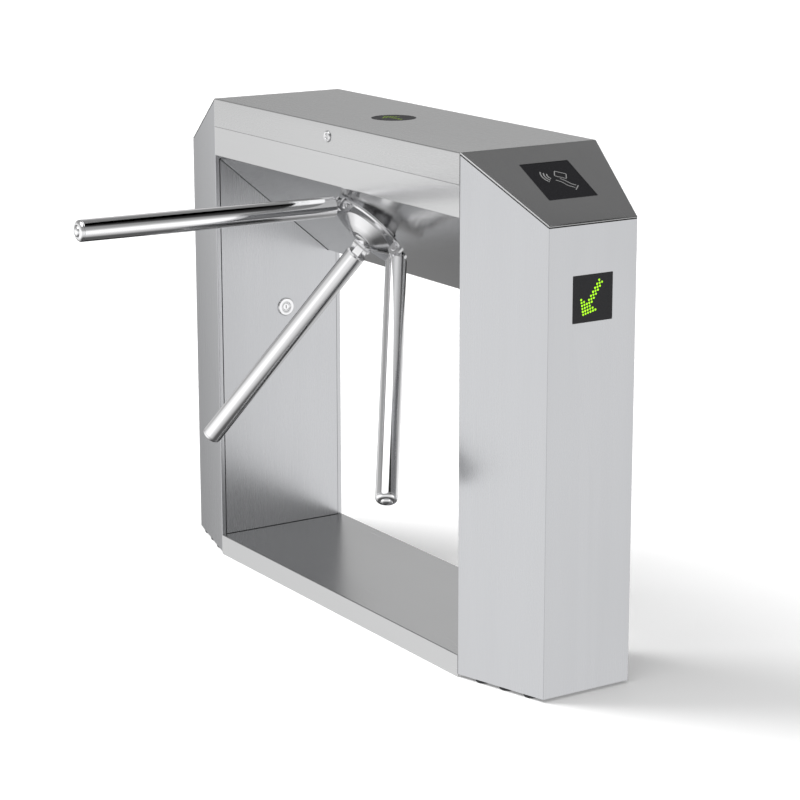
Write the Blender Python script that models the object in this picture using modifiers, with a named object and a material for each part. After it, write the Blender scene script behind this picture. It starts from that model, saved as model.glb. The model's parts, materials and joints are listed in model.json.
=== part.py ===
"""Bridge-type tripod turnstile: two tapered legs, a bridge with a lid, and a three-arm rotor.

Units are metres and +Z is up. The origin is on the floor under the middle of the base plate.
+X runs along the length of the body, and the rotor stands out on the -Y side.
"""

from math import cos, pi, radians, sin

import bmesh
import bpy
from mathutils import Matrix, Vector

# Driving dimensions of the body
BODY_LENGTH = 1.300
BODY_DEPTH = 0.300
BODY_HEIGHT = 0.980
BRIDGE_LENGTH = 0.906
END_WIDTH = 0.192
END_HEIGHT = 0.872
BASE_HEIGHT = 0.043
SHEET = 0.002
GAP = 0.0003

HALF = BRIDGE_LENGTH / 2
END = BODY_LENGTH / 2
SIDE = BODY_DEPTH / 2
END_SIDE = END_WIDTH / 2
INNER_LENGTH = HALF - GAP
LEG_BOTTOM = 0.006
SLOPE_DROP = 0.0028
RIM_DROP = 0.0018

# Section of the bridge: front strip, inclined panel, narrow bottom, rear wall
LID_SEAM = 0.922
PANEL_TOP = 0.863
PANEL_TILT = radians(40.0)
PANEL_REAR = 0.120
PANEL_FALL = (PANEL_REAR + SIDE) * sin(PANEL_TILT) / cos(PANEL_TILT)
BRIDGE_BOTTOM = PANEL_TOP - PANEL_FALL
REAR_SEAM = 0.966

# Rotor: shaft axis, hub and arms
ROTOR_CENTRE = Vector((0.014, -0.082, 0.749))
ROTOR_TILT = radians(40.0)
ROTOR_PHASE = radians(-5.0)
ARM_PHASES = {"barrier": 0.0, "left": radians(-120.0), "right": radians(120.0)}
ARM_TILT = radians(40.0)
ROOT_RADIUS = 0.092
PIN_SETBACK = 0.016
ARM_RADIUS = 0.0205
ARM_WALL = 0.0017
ARM_REACH = 0.552
CAP_LENGTH = 0.013
TONGUE = 0.016
TONGUE_RADIUS = 0.013
EAR = 0.008
EAR_RADIUS = 0.012
PIN_RADIUS = 0.004
PIN_HEAD_RADIUS = 0.0058
PIN_HEAD = 0.0032
HUB_RADIUS = 0.090
HUB_BACK = -0.025
HUB_FACE = -0.0185
SHAFT_RADIUS = 0.015
TAIL_RADIUS = 0.012

# Drive inside the bridge, as distances along the rotor axis
COLLAR_RADIUS = 0.040
COLLAR_FRONT = -0.0275
PANEL_HOLE_RADIUS = 0.043
BEARING_RADIUS = 0.028
BEARING_WIDTH = 0.012
CHASSIS_WEB = (-0.0893, -0.0853)
CHASSIS_HALF = 0.120
CHASSIS_RISE = 0.070
CHASSIS_WALL = 0.004
CHASSIS_FRONT = -0.060
CHASSIS_REAR = (-0.146, -0.142)
RATCHET = (-0.112, -0.104)
RATCHET_RADIUS = 0.055
NOTCHES = 12
NOTCH = (0.011, 0.009)
CAM = (-0.128, -0.120)
PAWL_PIVOT = (0.066, 0.038)
PAWL_TAIL = 0.022
PAWL_POST_RADIUS = 0.004
SHAFT_ROOM_RADIUS = 0.0185
PLUNGER_RADIUS = 0.004

# Openings for the windows
END_WINDOW = (0.088, 0.086)
END_WINDOW_HEIGHT = 0.736
READER_WINDOW = 0.105
READER_PLACE = 0.46
TOP_WINDOW_RADIUS = 0.044
WINDOW_THICKNESS = 0.003

# Doors, locks and hinges
FLANGE_EDGE = 0.1405
DOOR_EDGES = (-0.1384, 0.1398)
DOOR_ROOM = 0.0010
DOOR_AXIS = (HALF + 0.0045, -0.1355)
DOOR_BARREL = (0.060, 0.830)
BARREL_RADIUS = 0.004
DOOR_ROD = (0.0143, 0.845)
DOOR_ROD_RADIUS = 0.0025
DOOR_LOCK = (0.014, 0.524)
DOOR_LOCK_RADIUS = 0.014
KEEPER = (0.009, 0.012)
KEEPER_BELOW_LOCK = (-0.032, -0.020)
LID_LOCK_HEIGHT = 0.955
LID_LOCK_RADIUS = 0.008
LOCK_DEPTH = 0.017
LOCK_FLANGE = 0.0034
LOCK_CHAMFER = 0.0012
KEYWAY = (0.0007, 0.0035)
LID_AXIS = (SIDE + 0.004, 0.9661)
LID_BARREL_RADIUS = 0.0035
LID_PIN_RADIUS = 0.0014
HINGE_HALF = 0.440
HINGE_LEAF = 0.0012
HINGE_KNUCKLES = 6

FINE = 48
ROUND = 32
SMALL = 16


def clear_scene():
    for thing in list(bpy.data.objects):
        bpy.data.objects.remove(thing)


clear_scene()
PARTS = bpy.data.collections.new("tripod_turnstile")
CUTTERS = bpy.data.collections.new("cutters")
CUTTERS.hide_render = True
for folder in (PARTS, CUTTERS):
    bpy.context.scene.collection.children.link(folder)


# ---------------------------------------------------------------- materials


def material(name, colour, roughness, metallic=0.0, alpha=1.0):
    made = bpy.data.materials.new(name)
    made.use_nodes = True
    shader = made.node_tree.nodes["Principled BSDF"]
    shader.inputs["Base Color"].default_value = (*colour, 1.0)
    shader.inputs["Roughness"].default_value = roughness
    shader.inputs["Metallic"].default_value = metallic
    shader.inputs["Alpha"].default_value = alpha
    return made


BRUSHED = material("brushed_stainless", (0.62, 0.63, 0.65), 0.34, 1.0)
POLISHED = material("polished_stainless", (0.72, 0.72, 0.73), 0.12, 1.0)
STEEL = material("zinc_plated_steel", (0.50, 0.51, 0.52), 0.42, 1.0)
GLOSS_BLACK = material("smoked_acrylic", (0.015, 0.016, 0.018), 0.08)
CIRCUIT = material("circuit_board", (0.02, 0.12, 0.06), 0.5)
CASING = material("black_casing", (0.03, 0.03, 0.03), 0.55)
RUBBER = material("foot_moulding", (0.04, 0.04, 0.045), 0.8)
BRASS = material("brass_plunger", (0.66, 0.50, 0.22), 0.3, 1.0)


# ---------------------------------------------------------------- placing


def group(name, place):
    """An empty on a joint's axis, which the pieces of one moving body are parented to."""
    empty = bpy.data.objects.new(name, None)
    empty.empty_display_size = 0.03
    empty.matrix_basis = place
    PARTS.objects.link(empty)
    return empty, place


def adopt(parent, *pieces):
    empty, place = parent
    for piece in pieces:
        piece.parent = empty
        piece.matrix_parent_inverse = place.inverted()


def at(x, y, z):
    return Matrix.Translation((x, y, z))


def turn(angle, axis):
    return Matrix.Rotation(angle, 4, axis)


def mirrored(side):
    """Half a turn about Z for the left leg, and nothing for the right one."""
    return Matrix.Identity(4) if side == "right" else turn(pi, "Z")


def rotor_frame():
    """Local Z is the shaft axis pointing out, local Y is up the hub's face, local X is world X."""
    outward = Vector((0.0, -cos(ROTOR_TILT), -sin(ROTOR_TILT)))
    upward = Vector((0.0, -sin(ROTOR_TILT), cos(ROTOR_TILT)))
    columns = Matrix((Vector((1.0, 0.0, 0.0)), upward, outward)).transposed()
    return Matrix.Translation(ROTOR_CENTRE) @ columns.to_4x4()


def pin_frame(phase):
    """Origin on an arm's pivot pin: local X along the pin, local Z along the rotor axis."""
    radius = ROOT_RADIUS - PIN_SETBACK * sin(ARM_TILT)
    height = -PIN_SETBACK * cos(ARM_TILT)
    return rotor_frame() @ turn(-(phase + ROTOR_PHASE), "Z") @ at(0.0, radius, height)


def arm_frame(phase):
    """The pin frame, tilted so that local Z runs along the arm."""
    return pin_frame(phase) @ turn(-ARM_TILT, "X")


# ---------------------------------------------------------------- shapes


def place_object(name, mesh, look, place=None, smooth=False, folder=PARTS):
    made = bpy.data.objects.new(name, mesh)
    made.matrix_basis = place or Matrix.Identity(4)
    folder.objects.link(made)
    if look:
        mesh.materials.append(look)
    if smooth:
        mesh.shade_smooth()
        mesh.set_sharp_from_angle(angle=radians(35.0))
    if folder is CUTTERS:
        made.hide_render = True
        made.display_type = "WIRE"
    return made


def box(name, low, high, look=None, place=None, folder=PARTS):
    low, high = Vector(low), Vector(high)
    mesh = bpy.data.meshes.new(name)
    work = bmesh.new()
    size = high - low
    shape = Matrix.Translation((low + high) / 2) @ Matrix.Diagonal((*size, 1.0))
    bmesh.ops.create_cube(work, size=1.0, matrix=shape)
    work.to_mesh(mesh)
    work.free()
    return place_object(name, mesh, look, place, folder=folder)


def cylinder(name, radius, low, high, look=None, place=None, segments=ROUND, folder=PARTS):
    """A cylinder along local Z, from height low to height high."""
    mesh = bpy.data.meshes.new(name)
    work = bmesh.new()
    bmesh.ops.create_cone(
        work, cap_ends=True, segments=segments, radius1=radius, radius2=radius,
        depth=high - low, matrix=at(0.0, 0.0, (low + high) / 2),
    )
    work.to_mesh(mesh)
    work.free()
    return place_object(name, mesh, look, place, smooth=True, folder=folder)


def turned(name, profile, look, place=None, steps=ROUND, closed=False, folder=PARTS):
    """A profile of (radius, height) points turned about local Z, its outer side running down."""
    mesh = bpy.data.meshes.new(name)
    edges = [(i, i + 1) for i in range(len(profile) - 1)]
    if closed:
        edges.append((len(profile) - 1, 0))
    mesh.from_pydata([(radius, 0.0, height) for radius, height in profile], edges, [])
    made = place_object(name, mesh, look, place, folder=folder)
    screw = made.modifiers.new("turn", "SCREW")
    screw.axis = "Z"
    screw.steps = screw.render_steps = steps
    screw.use_merge_vertices = True
    screw.merge_threshold = 0.00001
    screw.use_smooth_shade = True
    return made


def flat_plate(name, outline, low, high, look=None, place=None, folder=PARTS):
    """A flat outline in local X and Y, filled and extruded from height low to height high."""
    curve = bpy.data.curves.new(name, "CURVE")
    curve.dimensions = "2D"
    curve.fill_mode = "BOTH"
    curve.extrude = (high - low) / 2
    spline = curve.splines.new("POLY")
    spline.points.add(len(outline) - 1)
    for point, (x, y) in zip(spline.points, outline):
        point.co = (x, y, 0.0, 1.0)
    spline.use_cyclic_u = True
    drawn = bpy.data.objects.new(name + "_outline", curve)
    CUTTERS.objects.link(drawn)
    solved = drawn.evaluated_get(bpy.context.evaluated_depsgraph_get())
    mesh = bpy.data.meshes.new_from_object(solved)
    bpy.data.objects.remove(drawn)
    work = bmesh.new()
    work.from_mesh(mesh)
    bmesh.ops.remove_doubles(work, verts=work.verts, dist=0.000001)
    bmesh.ops.translate(work, verts=work.verts, vec=(0.0, 0.0, (low + high) / 2))
    bmesh.ops.recalc_face_normals(work, faces=work.faces)
    work.to_mesh(mesh)
    work.free()
    mesh.name = name
    return place_object(name, mesh, look, place, folder=folder)


def folded_sheet(name, ends, look, place=None, thickness=SHEET):
    """A bent sheet between matching rows of points, thickened to the left of the path."""
    mesh = bpy.data.meshes.new(name)
    first, last = ends
    count = len(first)
    faces = [(i, i + 1, count + i + 1, count + i) for i in range(count - 1)]
    mesh.from_pydata([*first, *last], [], faces)
    made = place_object(name, mesh, look, place)
    skin = made.modifiers.new("sheet", "SOLIDIFY")
    skin.thickness = thickness
    skin.offset = -1.0
    skin.use_even_offset = True
    return made


def boolean(body, tool, operation):
    step = body.modifiers.new(f"{operation.lower()}_{tool.name}", "BOOLEAN")
    step.operation = operation
    step.solver = "EXACT"
    step.object = tool


def cut(body, *tools):
    for tool in tools:
        boolean(body, tool, "DIFFERENCE")


def join(body, *tools):
    for tool in tools:
        boolean(body, tool, "UNION")


def along_x(x, y, z):
    """A frame at this point whose local Z runs along world X."""
    return at(x, y, z) @ turn(pi / 2, "Y")


def along_y(x, y, z):
    """A frame at this point whose local Z runs along world -Y."""
    return at(x, y, z) @ turn(pi / 2, "X")


# ---------------------------------------------------------------- body


def panel_height(y):
    return PANEL_TOP - (y + SIDE) * sin(PANEL_TILT) / cos(PANEL_TILT)


def slope_height(x):
    return BODY_HEIGHT - (x - HALF) * (BODY_HEIGHT - END_HEIGHT) / (END - HALF)


def side_at(x, inset=0.0):
    """Half the width of a leg at this distance from the middle of the body."""
    return SIDE - (x - HALF) * (SIDE - END_SIDE) / (END - HALF) - inset


def leg_shell(side):
    plan = [
        (HALF, -FLANGE_EDGE), (HALF, -SIDE), (END, -END_SIDE),
        (END, END_SIDE), (HALF, SIDE), (HALF, FLANGE_EDGE),
    ]
    bottom = [(x, y, LEG_BOTTOM) for x, y in plan]
    top = [(x, y, slope_height(x) - SLOPE_DROP - RIM_DROP) for x, y in plan]
    shell = folded_sheet(f"leg_shell_{side}", (bottom, top), BRUSHED, mirrored(side))
    width, height = END_WINDOW
    opening = box(
        f"end_opening_{side}",
        (END - 0.02, -width / 2, END_WINDOW_HEIGHT - height / 2),
        (END + 0.02, width / 2, END_WINDOW_HEIGHT + height / 2),
        place=mirrored(side), folder=CUTTERS,
    )
    cut(shell, opening)


def slope_frame(side):
    """Origin in the middle of the reader window: local X down the slope, local Z out of it."""
    fall = BODY_HEIGHT - END_HEIGHT
    run = END - HALF
    down = Vector((run, 0.0, -fall)).normalized()
    out = Vector((fall, 0.0, run)).normalized()
    columns = Matrix((down, Vector((0.0, 1.0, 0.0)), out)).transposed()
    x = HALF + READER_PLACE * run
    return mirrored(side) @ at(x, 0.0, slope_height(x)) @ columns.to_4x4()


def slope_panel(side):
    """The flat sheet that closes a leg's sloping top, with its reader opening."""
    mesh = bpy.data.meshes.new(f"slope_panel_{side}")
    work = bmesh.new()
    corners = [(HALF, -SIDE), (END, -END_SIDE), (END, END_SIDE), (HALF, SIDE)]
    face = work.faces.new([work.verts.new((x, y, slope_height(x))) for x, y in corners])
    lower = bmesh.ops.extrude_face_region(work, geom=[face])
    moved = [v for v in lower["geom"] if isinstance(v, bmesh.types.BMVert)]
    bmesh.ops.translate(work, verts=moved, vec=(0.0, 0.0, -SLOPE_DROP + GAP))
    bmesh.ops.recalc_face_normals(work, faces=work.faces)
    work.to_mesh(mesh)
    work.free()
    panel = place_object(f"slope_panel_{side}", mesh, BRUSHED, mirrored(side))
    half = READER_WINDOW / 2
    opening = box(
        f"reader_opening_{side}", (-half, -half, -0.02), (half, half, 0.02),
        place=slope_frame(side), folder=CUTTERS,
    )
    cut(panel, opening)


def reader(side):
    half = READER_WINDOW / 2 - GAP
    box(
        f"reader_window_{side}", (-half, -half, -WINDOW_THICKNESS - GAP), (half, half, -GAP),
        GLOSS_BLACK, slope_frame(side),
    )
    box(
        f"reader_module_{side}", (-0.043, -0.043, -0.020), (0.043, 0.043, -0.0045),
        CASING, slope_frame(side),
    )


def end_indicator(side):
    width, height = END_WINDOW
    half = (width / 2 - GAP, height / 2 - GAP)
    middle = END_WINDOW_HEIGHT
    box(
        f"indicator_window_{side}",
        (END - GAP - WINDOW_THICKNESS, -half[0], middle - half[1]),
        (END - GAP, half[0], middle + half[1]),
        GLOSS_BLACK, mirrored(side),
    )
    box(
        f"indicator_board_{side}",
        (END - 0.0135, -0.041, middle - 0.040), (END - 0.0045, 0.041, middle + 0.040),
        CIRCUIT, mirrored(side),
    )


def foot_plate(side):
    """The plate in the bottom of a leg, with its anchor holes and six levelling pads."""
    inset = SHEET + 0.001
    near, far = HALF + 0.0028, END - inset
    outline = [
        (near, -side_at(near, inset)), (far, -side_at(far, inset)),
        (far, side_at(far, inset)), (near, side_at(near, inset)),
    ]
    plate = flat_plate(f"foot_plate_{side}", outline, 0.008, 0.014, STEEL, mirrored(side))
    for row, x in enumerate((HALF + 0.045, HALF + 0.100, HALF + 0.155)):
        for way in (-1, 1):
            pad = cylinder(
                f"pad_{side}_{row}_{way}", 0.011, 0.0, 0.010,
                place=mirrored(side) @ at(x, way * side_at(x, 0.016), 0.0),
                segments=SMALL, folder=CUTTERS,
            )
            join(plate, pad)
    for column, x in enumerate((HALF + 0.035, HALF + 0.160)):
        for way in (-1, 1):
            hole = cylinder(
                f"anchor_{side}_{column}_{way}", 0.007, -0.01, 0.03,
                place=mirrored(side) @ at(x, way * 0.055, 0.0),
                segments=SMALL, folder=CUTTERS,
            )
            cut(plate, hole)


def bridge():
    """The bent sheet that makes the bridge, open at the top, with the hole for the shaft collar."""
    section = [
        (-SIDE, LID_SEAM - GAP), (-SIDE, PANEL_TOP), (PANEL_REAR, BRIDGE_BOTTOM),
        (SIDE, BRIDGE_BOTTOM), (SIDE, REAR_SEAM - GAP),
    ]
    ends = [[(x, y, z) for y, z in section] for x in (-INNER_LENGTH, INNER_LENGTH)]
    housing = folded_sheet("bridge_housing", ends, BRUSHED)
    hole = cylinder(
        "collar_hole", PANEL_HOLE_RADIUS, -0.12, 0.02,
        place=rotor_frame(), segments=FINE, folder=CUTTERS,
    )
    cut(housing, hole)


def base():
    section = [(-SIDE, 0.0), (-SIDE, BASE_HEIGHT), (SIDE, BASE_HEIGHT), (SIDE, 0.0)]
    ends = [[(x, y, z) for y, z in section] for x in (INNER_LENGTH, -INNER_LENGTH)]
    folded_sheet("base_cover", ends, BRUSHED)
    inner = SIDE - SHEET - 0.0006
    plate = box("base_frame", (-INNER_LENGTH, -inner, 0.0), (INNER_LENGTH, inner, 0.004), STEEL)
    for name, y in (("front", -0.105), ("rear", 0.105)):
        rail = box(
            f"base_rail_{name}", (-INNER_LENGTH + 0.01, y - 0.020, 0.002),
            (INNER_LENGTH - 0.01, y + 0.020, BASE_HEIGHT - SHEET - GAP), folder=CUTTERS,
        )
        bore = box(
            f"base_rail_bore_{name}", (-HALF, y - 0.0175, 0.0065),
            (HALF, y + 0.0175, BASE_HEIGHT - SHEET - GAP - 0.0025), folder=CUTTERS,
        )
        join(plate, rail)
        cut(plate, bore)


# ---------------------------------------------------------------- lid


def lid():
    pivot = group("lid_axis", at(0.0, *LID_AXIS))
    section = [
        (-SIDE, LID_SEAM + GAP), (-SIDE, BODY_HEIGHT), (SIDE, BODY_HEIGHT), (SIDE, REAR_SEAM + GAP),
    ]
    ends = [[(x, y, z) for y, z in section] for x in (INNER_LENGTH, -INNER_LENGTH)]
    cover = folded_sheet("lid", ends, BRUSHED)
    hole = cylinder(
        "top_opening", TOP_WINDOW_RADIUS, BODY_HEIGHT - 0.01, BODY_HEIGHT + 0.01,
        segments=FINE, folder=CUTTERS,
    )
    lock_hole = cylinder(
        "lid_lock_hole", LID_LOCK_RADIUS + GAP, -0.01, 0.01,
        place=along_y(0.0, -SIDE, LID_LOCK_HEIGHT), folder=CUTTERS,
    )
    cut(cover, hole, lock_hole)
    window = cylinder(
        "top_indicator_window", TOP_WINDOW_RADIUS - GAP,
        BODY_HEIGHT - GAP - WINDOW_THICKNESS, BODY_HEIGHT - GAP, GLOSS_BLACK, segments=FINE,
    )
    board = cylinder(
        "top_indicator_board", 0.040, BODY_HEIGHT - 0.014, BODY_HEIGHT - 0.005, CIRCUIT,
    )
    upper = hinge_leaf("lid_hinge_leaf", 1, LID_AXIS[1] + 0.0005, 0.979)
    adopt(pivot, cover, window, board, upper)
    fixed = hinge_leaf("housing_hinge_leaf", 0, 0.944, LID_AXIS[1] - 0.0005)
    pin = cylinder(
        "lid_hinge_pin", LID_PIN_RADIUS, -HINGE_HALF - 0.0005, HINGE_HALF + 0.0005,
        place=along_x(0.0, *LID_AXIS), segments=SMALL, folder=CUTTERS,
    )
    join(fixed, pin)


def hinge_leaf(name, first, low, high):
    """One leaf of the long hinge, with every second knuckle of its barrel."""
    near = SIDE + GAP
    pitch = 2 * HINGE_HALF / HINGE_KNUCKLES
    leaf = box(name, (-HINGE_HALF, near, low), (HINGE_HALF, near + HINGE_LEAF, high), STEEL)
    for index in range(first, HINGE_KNUCKLES, 2):
        start = -HINGE_HALF + index * pitch + 0.0005
        knuckle = cylinder(
            f"{name}_knuckle_{index}", LID_BARREL_RADIUS, start, start + pitch - 0.001,
            place=along_x(0.0, *LID_AXIS), segments=SMALL, folder=CUTTERS,
        )
        join(leaf, knuckle)
    for index in range(1 - first, HINGE_KNUCKLES, 2):
        start = -HINGE_HALF + index * pitch - 0.0002
        room = box(
            f"{name}_room_{index}", (start, near - 0.001, LID_AXIS[1] - 0.0045),
            (start + pitch + 0.0004, near + 0.009, LID_AXIS[1] + 0.0045), folder=CUTTERS,
        )
        cut(leaf, room)
    if first:
        bore = cylinder(
            f"{name}_bore", LID_PIN_RADIUS + GAP, -HALF, HALF,
            place=along_x(0.0, *LID_AXIS), segments=SMALL, folder=CUTTERS,
        )
        cut(leaf, bore)
    return leaf


def cam_lock(name, place, radius, rim):
    """A cylinder lock: local Z points out of the panel, and its cam points down it."""
    edge = radius + rim
    profile = [
        (0.0, LOCK_FLANGE), (edge - LOCK_CHAMFER, LOCK_FLANGE), (edge, LOCK_FLANGE - LOCK_CHAMFER),
        (edge, GAP), (radius, GAP), (radius, -LOCK_DEPTH), (0.0, -LOCK_DEPTH),
    ]
    lock = turned(name, profile, POLISHED, place, steps=ROUND)
    lever = box(
        f"{name}_lever", (-0.006, -0.007, -LOCK_DEPTH - 0.003), (0.006, 0.027, -LOCK_DEPTH + 0.001),
        place=place @ turn(pi, "Z"), folder=CUTTERS,
    )
    width, length = KEYWAY
    slot = box(
        f"{name}_keyway", (-width, -length, LOCK_FLANGE / 2), (width, length, 2 * LOCK_FLANGE),
        place=place, folder=CUTTERS,
    )
    join(lock, lever)
    cut(lock, slot)
    return lock


def lid_lock():
    place = along_y(0.0, -SIDE, LID_LOCK_HEIGHT)
    pivot = group("lid_lock_axis", place)
    adopt(pivot, cam_lock("lid_lock", place, LID_LOCK_RADIUS, LOCK_FLANGE))
    keeper = box("lid_lock_keeper", (0.012, -0.1477, 0.895), (0.032, -0.1452, 0.9650), STEEL)
    ledge = box("keeper_ledge", (0.012, -0.1460, 0.9625), (0.032, -0.124, 0.9650), folder=CUTTERS)
    join(keeper, ledge)


# ---------------------------------------------------------------- leg doors


def upright(x):
    """A frame whose local X runs along world Y, local Y up, and local Z along world X."""
    columns = Matrix((Vector((0.0, 1.0, 0.0)), Vector((0.0, 0.0, 1.0)), Vector((1.0, 0.0, 0.0))))
    return Matrix.Translation((x, 0.0, 0.0)) @ columns.transposed().to_4x4()


def door(side, way):
    """A leg's service door: a sheet under the bridge's section, with a hinge barrel at its front."""
    front, rear = DOOR_EDGES
    low, top = BASE_HEIGHT + DOOR_ROOM, BRIDGE_BOTTOM - DOOR_ROOM
    outline = [
        (front, low), (rear, low), (rear, top), (PANEL_REAR, top),
        (front, panel_height(front) - DOOR_ROOM),
    ]
    inner, outer = sorted((way * HALF, way * (HALF + SHEET)))
    leaf = flat_plate(f"leg_door_{side}", outline, inner, outer, BRUSHED, upright(0.0))
    axis = at(way * DOOR_AXIS[0], DOOR_AXIS[1], 0.0)
    barrel = cylinder(
        f"door_barrel_{side}", BARREL_RADIUS, *DOOR_BARREL,
        place=axis, segments=SMALL, folder=CUTTERS,
    )
    bore = cylinder(
        f"door_bore_{side}", DOOR_ROD_RADIUS + GAP, 0.0, BODY_HEIGHT,
        place=axis, segments=SMALL, folder=CUTTERS,
    )
    y, z = DOOR_LOCK
    lock_place = at(way * HALF, y, z) @ turn(-way * pi / 2, "Y")
    lock_hole = cylinder(
        f"door_lock_hole_{side}", DOOR_LOCK_RADIUS + GAP, -0.01, 0.01,
        place=lock_place, folder=CUTTERS,
    )
    join(leaf, barrel)
    cut(leaf, bore, lock_hole)
    adopt(group(f"door_axis_{side}", axis), leaf)
    lock = cam_lock(f"door_lock_{side}", lock_place, DOOR_LOCK_RADIUS, LOCK_FLANGE + SHEET)
    adopt(group(f"door_lock_axis_{side}", lock_place), lock)
    cylinder(f"door_hinge_rod_{side}", DOOR_ROD_RADIUS, *DOOR_ROD, STEEL, axis, segments=SMALL)
    near, far = sorted(way * (HALF + depth) for depth in KEEPER)
    reach = side_at(HALF + KEEPER[1], SHEET + 0.001)
    low, high = (z + drop for drop in KEEPER_BELOW_LOCK)
    box(f"door_keeper_{side}", (near, -reach, low), (far, reach, high), STEEL)


# ---------------------------------------------------------------- rotor


def hub(frame):
    """The dished disc, its raised middle, three slots for the arms and a pair of ears at each."""
    profile = [
        (0.0, 0.0010), (0.024, 0.0010), (0.031, -0.0020), (0.036, -0.0045), (0.058, HUB_FACE),
        (HUB_RADIUS - 0.0025, HUB_FACE), (HUB_RADIUS, HUB_FACE - 0.0020), (HUB_RADIUS, HUB_BACK),
        (SHAFT_RADIUS + GAP, HUB_BACK), (SHAFT_RADIUS + GAP, -0.010), (0.0, -0.010),
    ]
    disc = turned("hub", profile, POLISHED, frame, steps=FINE)
    outer = TONGUE / 2 + 0.0005 + EAR
    for name, phase in ARM_PHASES.items():
        place = pin_frame(phase)
        pin_height = -PIN_SETBACK * cos(ARM_TILT)
        radius = ROOT_RADIUS - PIN_SETBACK * sin(ARM_TILT)
        foot = HUB_BACK + 0.001 - pin_height
        outline = [(-EAR_RADIUS, foot), (EAR_RADIUS, foot)]
        for step in range(11):
            angle = pi * step / 10
            outline.append((EAR_RADIUS * cos(angle), EAR_RADIUS * sin(angle)))
        ears = flat_plate(
            f"ears_{name}", outline, -outer, outer, place=place @ upright(0.0), folder=CUTTERS,
        )
        slot = box(
            f"arm_slot_{name}", (-TONGUE / 2 - 0.0005, 0.064 - radius, -0.03),
            (TONGUE / 2 + 0.0005, 0.04, 0.03), place=place, folder=CUTTERS,
        )
        hole = cylinder(
            f"pin_hole_{name}", PIN_RADIUS + GAP, -0.03, 0.03,
            place=place @ turn(pi / 2, "Y"), segments=SMALL, folder=CUTTERS,
        )
        join(disc, ears)
        cut(disc, slot, hole)
    return disc


def arm(name, phase):
    """A closed-ended tube with a rounded tongue, which the pivot pin passes through."""
    place = arm_frame(phase)
    far = ARM_REACH - CAP_LENGTH - GAP
    bore = ARM_RADIUS - ARM_WALL
    profile = [
        (0.0, 0.050), (bore, 0.050), (bore, far), (ARM_RADIUS, far),
        (ARM_RADIUS, PIN_SETBACK + 0.0015), (ARM_RADIUS - 0.0015, PIN_SETBACK), (0.0, PIN_SETBACK),
    ]
    tube = turned(name, profile, POLISHED, place)
    knuckle = cylinder(
        f"{name}_knuckle", TONGUE_RADIUS, -TONGUE / 2, TONGUE / 2,
        place=place @ turn(pi / 2, "Y"), segments=24, folder=CUTTERS,
    )
    tongue = box(
        f"{name}_tongue", (-TONGUE / 2, -TONGUE_RADIUS, 0.0), (TONGUE / 2, TONGUE_RADIUS, 0.030),
        place=place, folder=CUTTERS,
    )
    hole = cylinder(
        f"{name}_pin_hole", PIN_RADIUS + GAP, -0.02, 0.02,
        place=place @ turn(pi / 2, "Y"), segments=SMALL, folder=CUTTERS,
    )
    join(tube, tongue, knuckle)
    cut(tube, hole)
    cap_profile = [(0.0, ARM_REACH), (0.0040, ARM_REACH - 0.0006), (0.0068, ARM_REACH - 0.0028)]
    cap_profile += [
        (ARM_RADIUS * sin(angle), ARM_REACH - CAP_LENGTH + 0.002 + 0.0085 * cos(angle))
        for angle in (radians(step) for step in (32, 50, 70, 90))
    ]
    cap_profile += [
        (ARM_RADIUS, ARM_REACH - CAP_LENGTH), (bore - GAP, ARM_REACH - CAP_LENGTH),
        (bore - GAP, ARM_REACH - CAP_LENGTH - 0.012), (0.0, ARM_REACH - CAP_LENGTH - 0.012),
    ]
    cap = turned(f"{name}_cap", cap_profile, POLISHED, place)
    return tube, cap


def arm_pin(name, phase):
    """The bolt that an arm turns on, with a head at one end and a nut at the other."""
    side = TONGUE / 2 + 0.0005 + EAR + GAP
    profile = [
        (0.0, side + PIN_HEAD), (PIN_HEAD_RADIUS - 0.001, side + PIN_HEAD),
        (PIN_HEAD_RADIUS, side + PIN_HEAD - 0.001), (PIN_HEAD_RADIUS, side), (PIN_RADIUS, side),
        (PIN_RADIUS, -side), (PIN_HEAD_RADIUS, -side), (PIN_HEAD_RADIUS, -side - PIN_HEAD),
        (0.0, -side - PIN_HEAD),
    ]
    return turned(f"{name}_pin", profile, POLISHED, pin_frame(phase) @ turn(pi / 2, "Y"), steps=SMALL)


def toothed_wheel(name, radius, low, high, place):
    """The locking wheel: an even ring of notches, one of them pointing along local X."""
    wheel = cylinder(name, radius, low, high, STEEL, place, segments=FINE)
    width, depth = NOTCH
    for index in range(NOTCHES // 2):
        bars = box(
            f"{name}_notch_{index}", (-radius - 0.01, -width / 2, low - 0.01),
            (radius + 0.01, width / 2, high + 0.01),
            place=place @ turn(2 * pi * index / NOTCHES, "Z"), folder=CUTTERS,
        )
        middle = cylinder(
            f"{name}_notch_middle_{index}", radius - depth, low - 0.02, high + 0.02,
            place=place, folder=CUTTERS,
        )
        cut(bars, middle)
        cut(wheel, bars)
    bore = cylinder(
        f"{name}_bore", TAIL_RADIUS + GAP, low - 0.01, high + 0.01,
        place=place, segments=24, folder=CUTTERS,
    )
    cut(wheel, bore)
    return wheel


def index_cam(place):
    """The three-lobed cam that brings the rotor home, bored for the shaft."""
    steps = 36
    outline = []
    for step in range(steps):
        angle = 2 * pi * step / steps
        radius = 0.039 + 0.009 * cos(3 * angle)
        outline.append((radius * sin(angle), radius * cos(angle)))
    cam = flat_plate("index_cam", outline, *CAM, STEEL, place)
    bore = cylinder(
        "cam_bore", TAIL_RADIUS + GAP, CAM[0] - 0.01, CAM[1] + 0.01,
        place=place, segments=24, folder=CUTTERS,
    )
    cut(cam, bore)
    return cam


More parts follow.
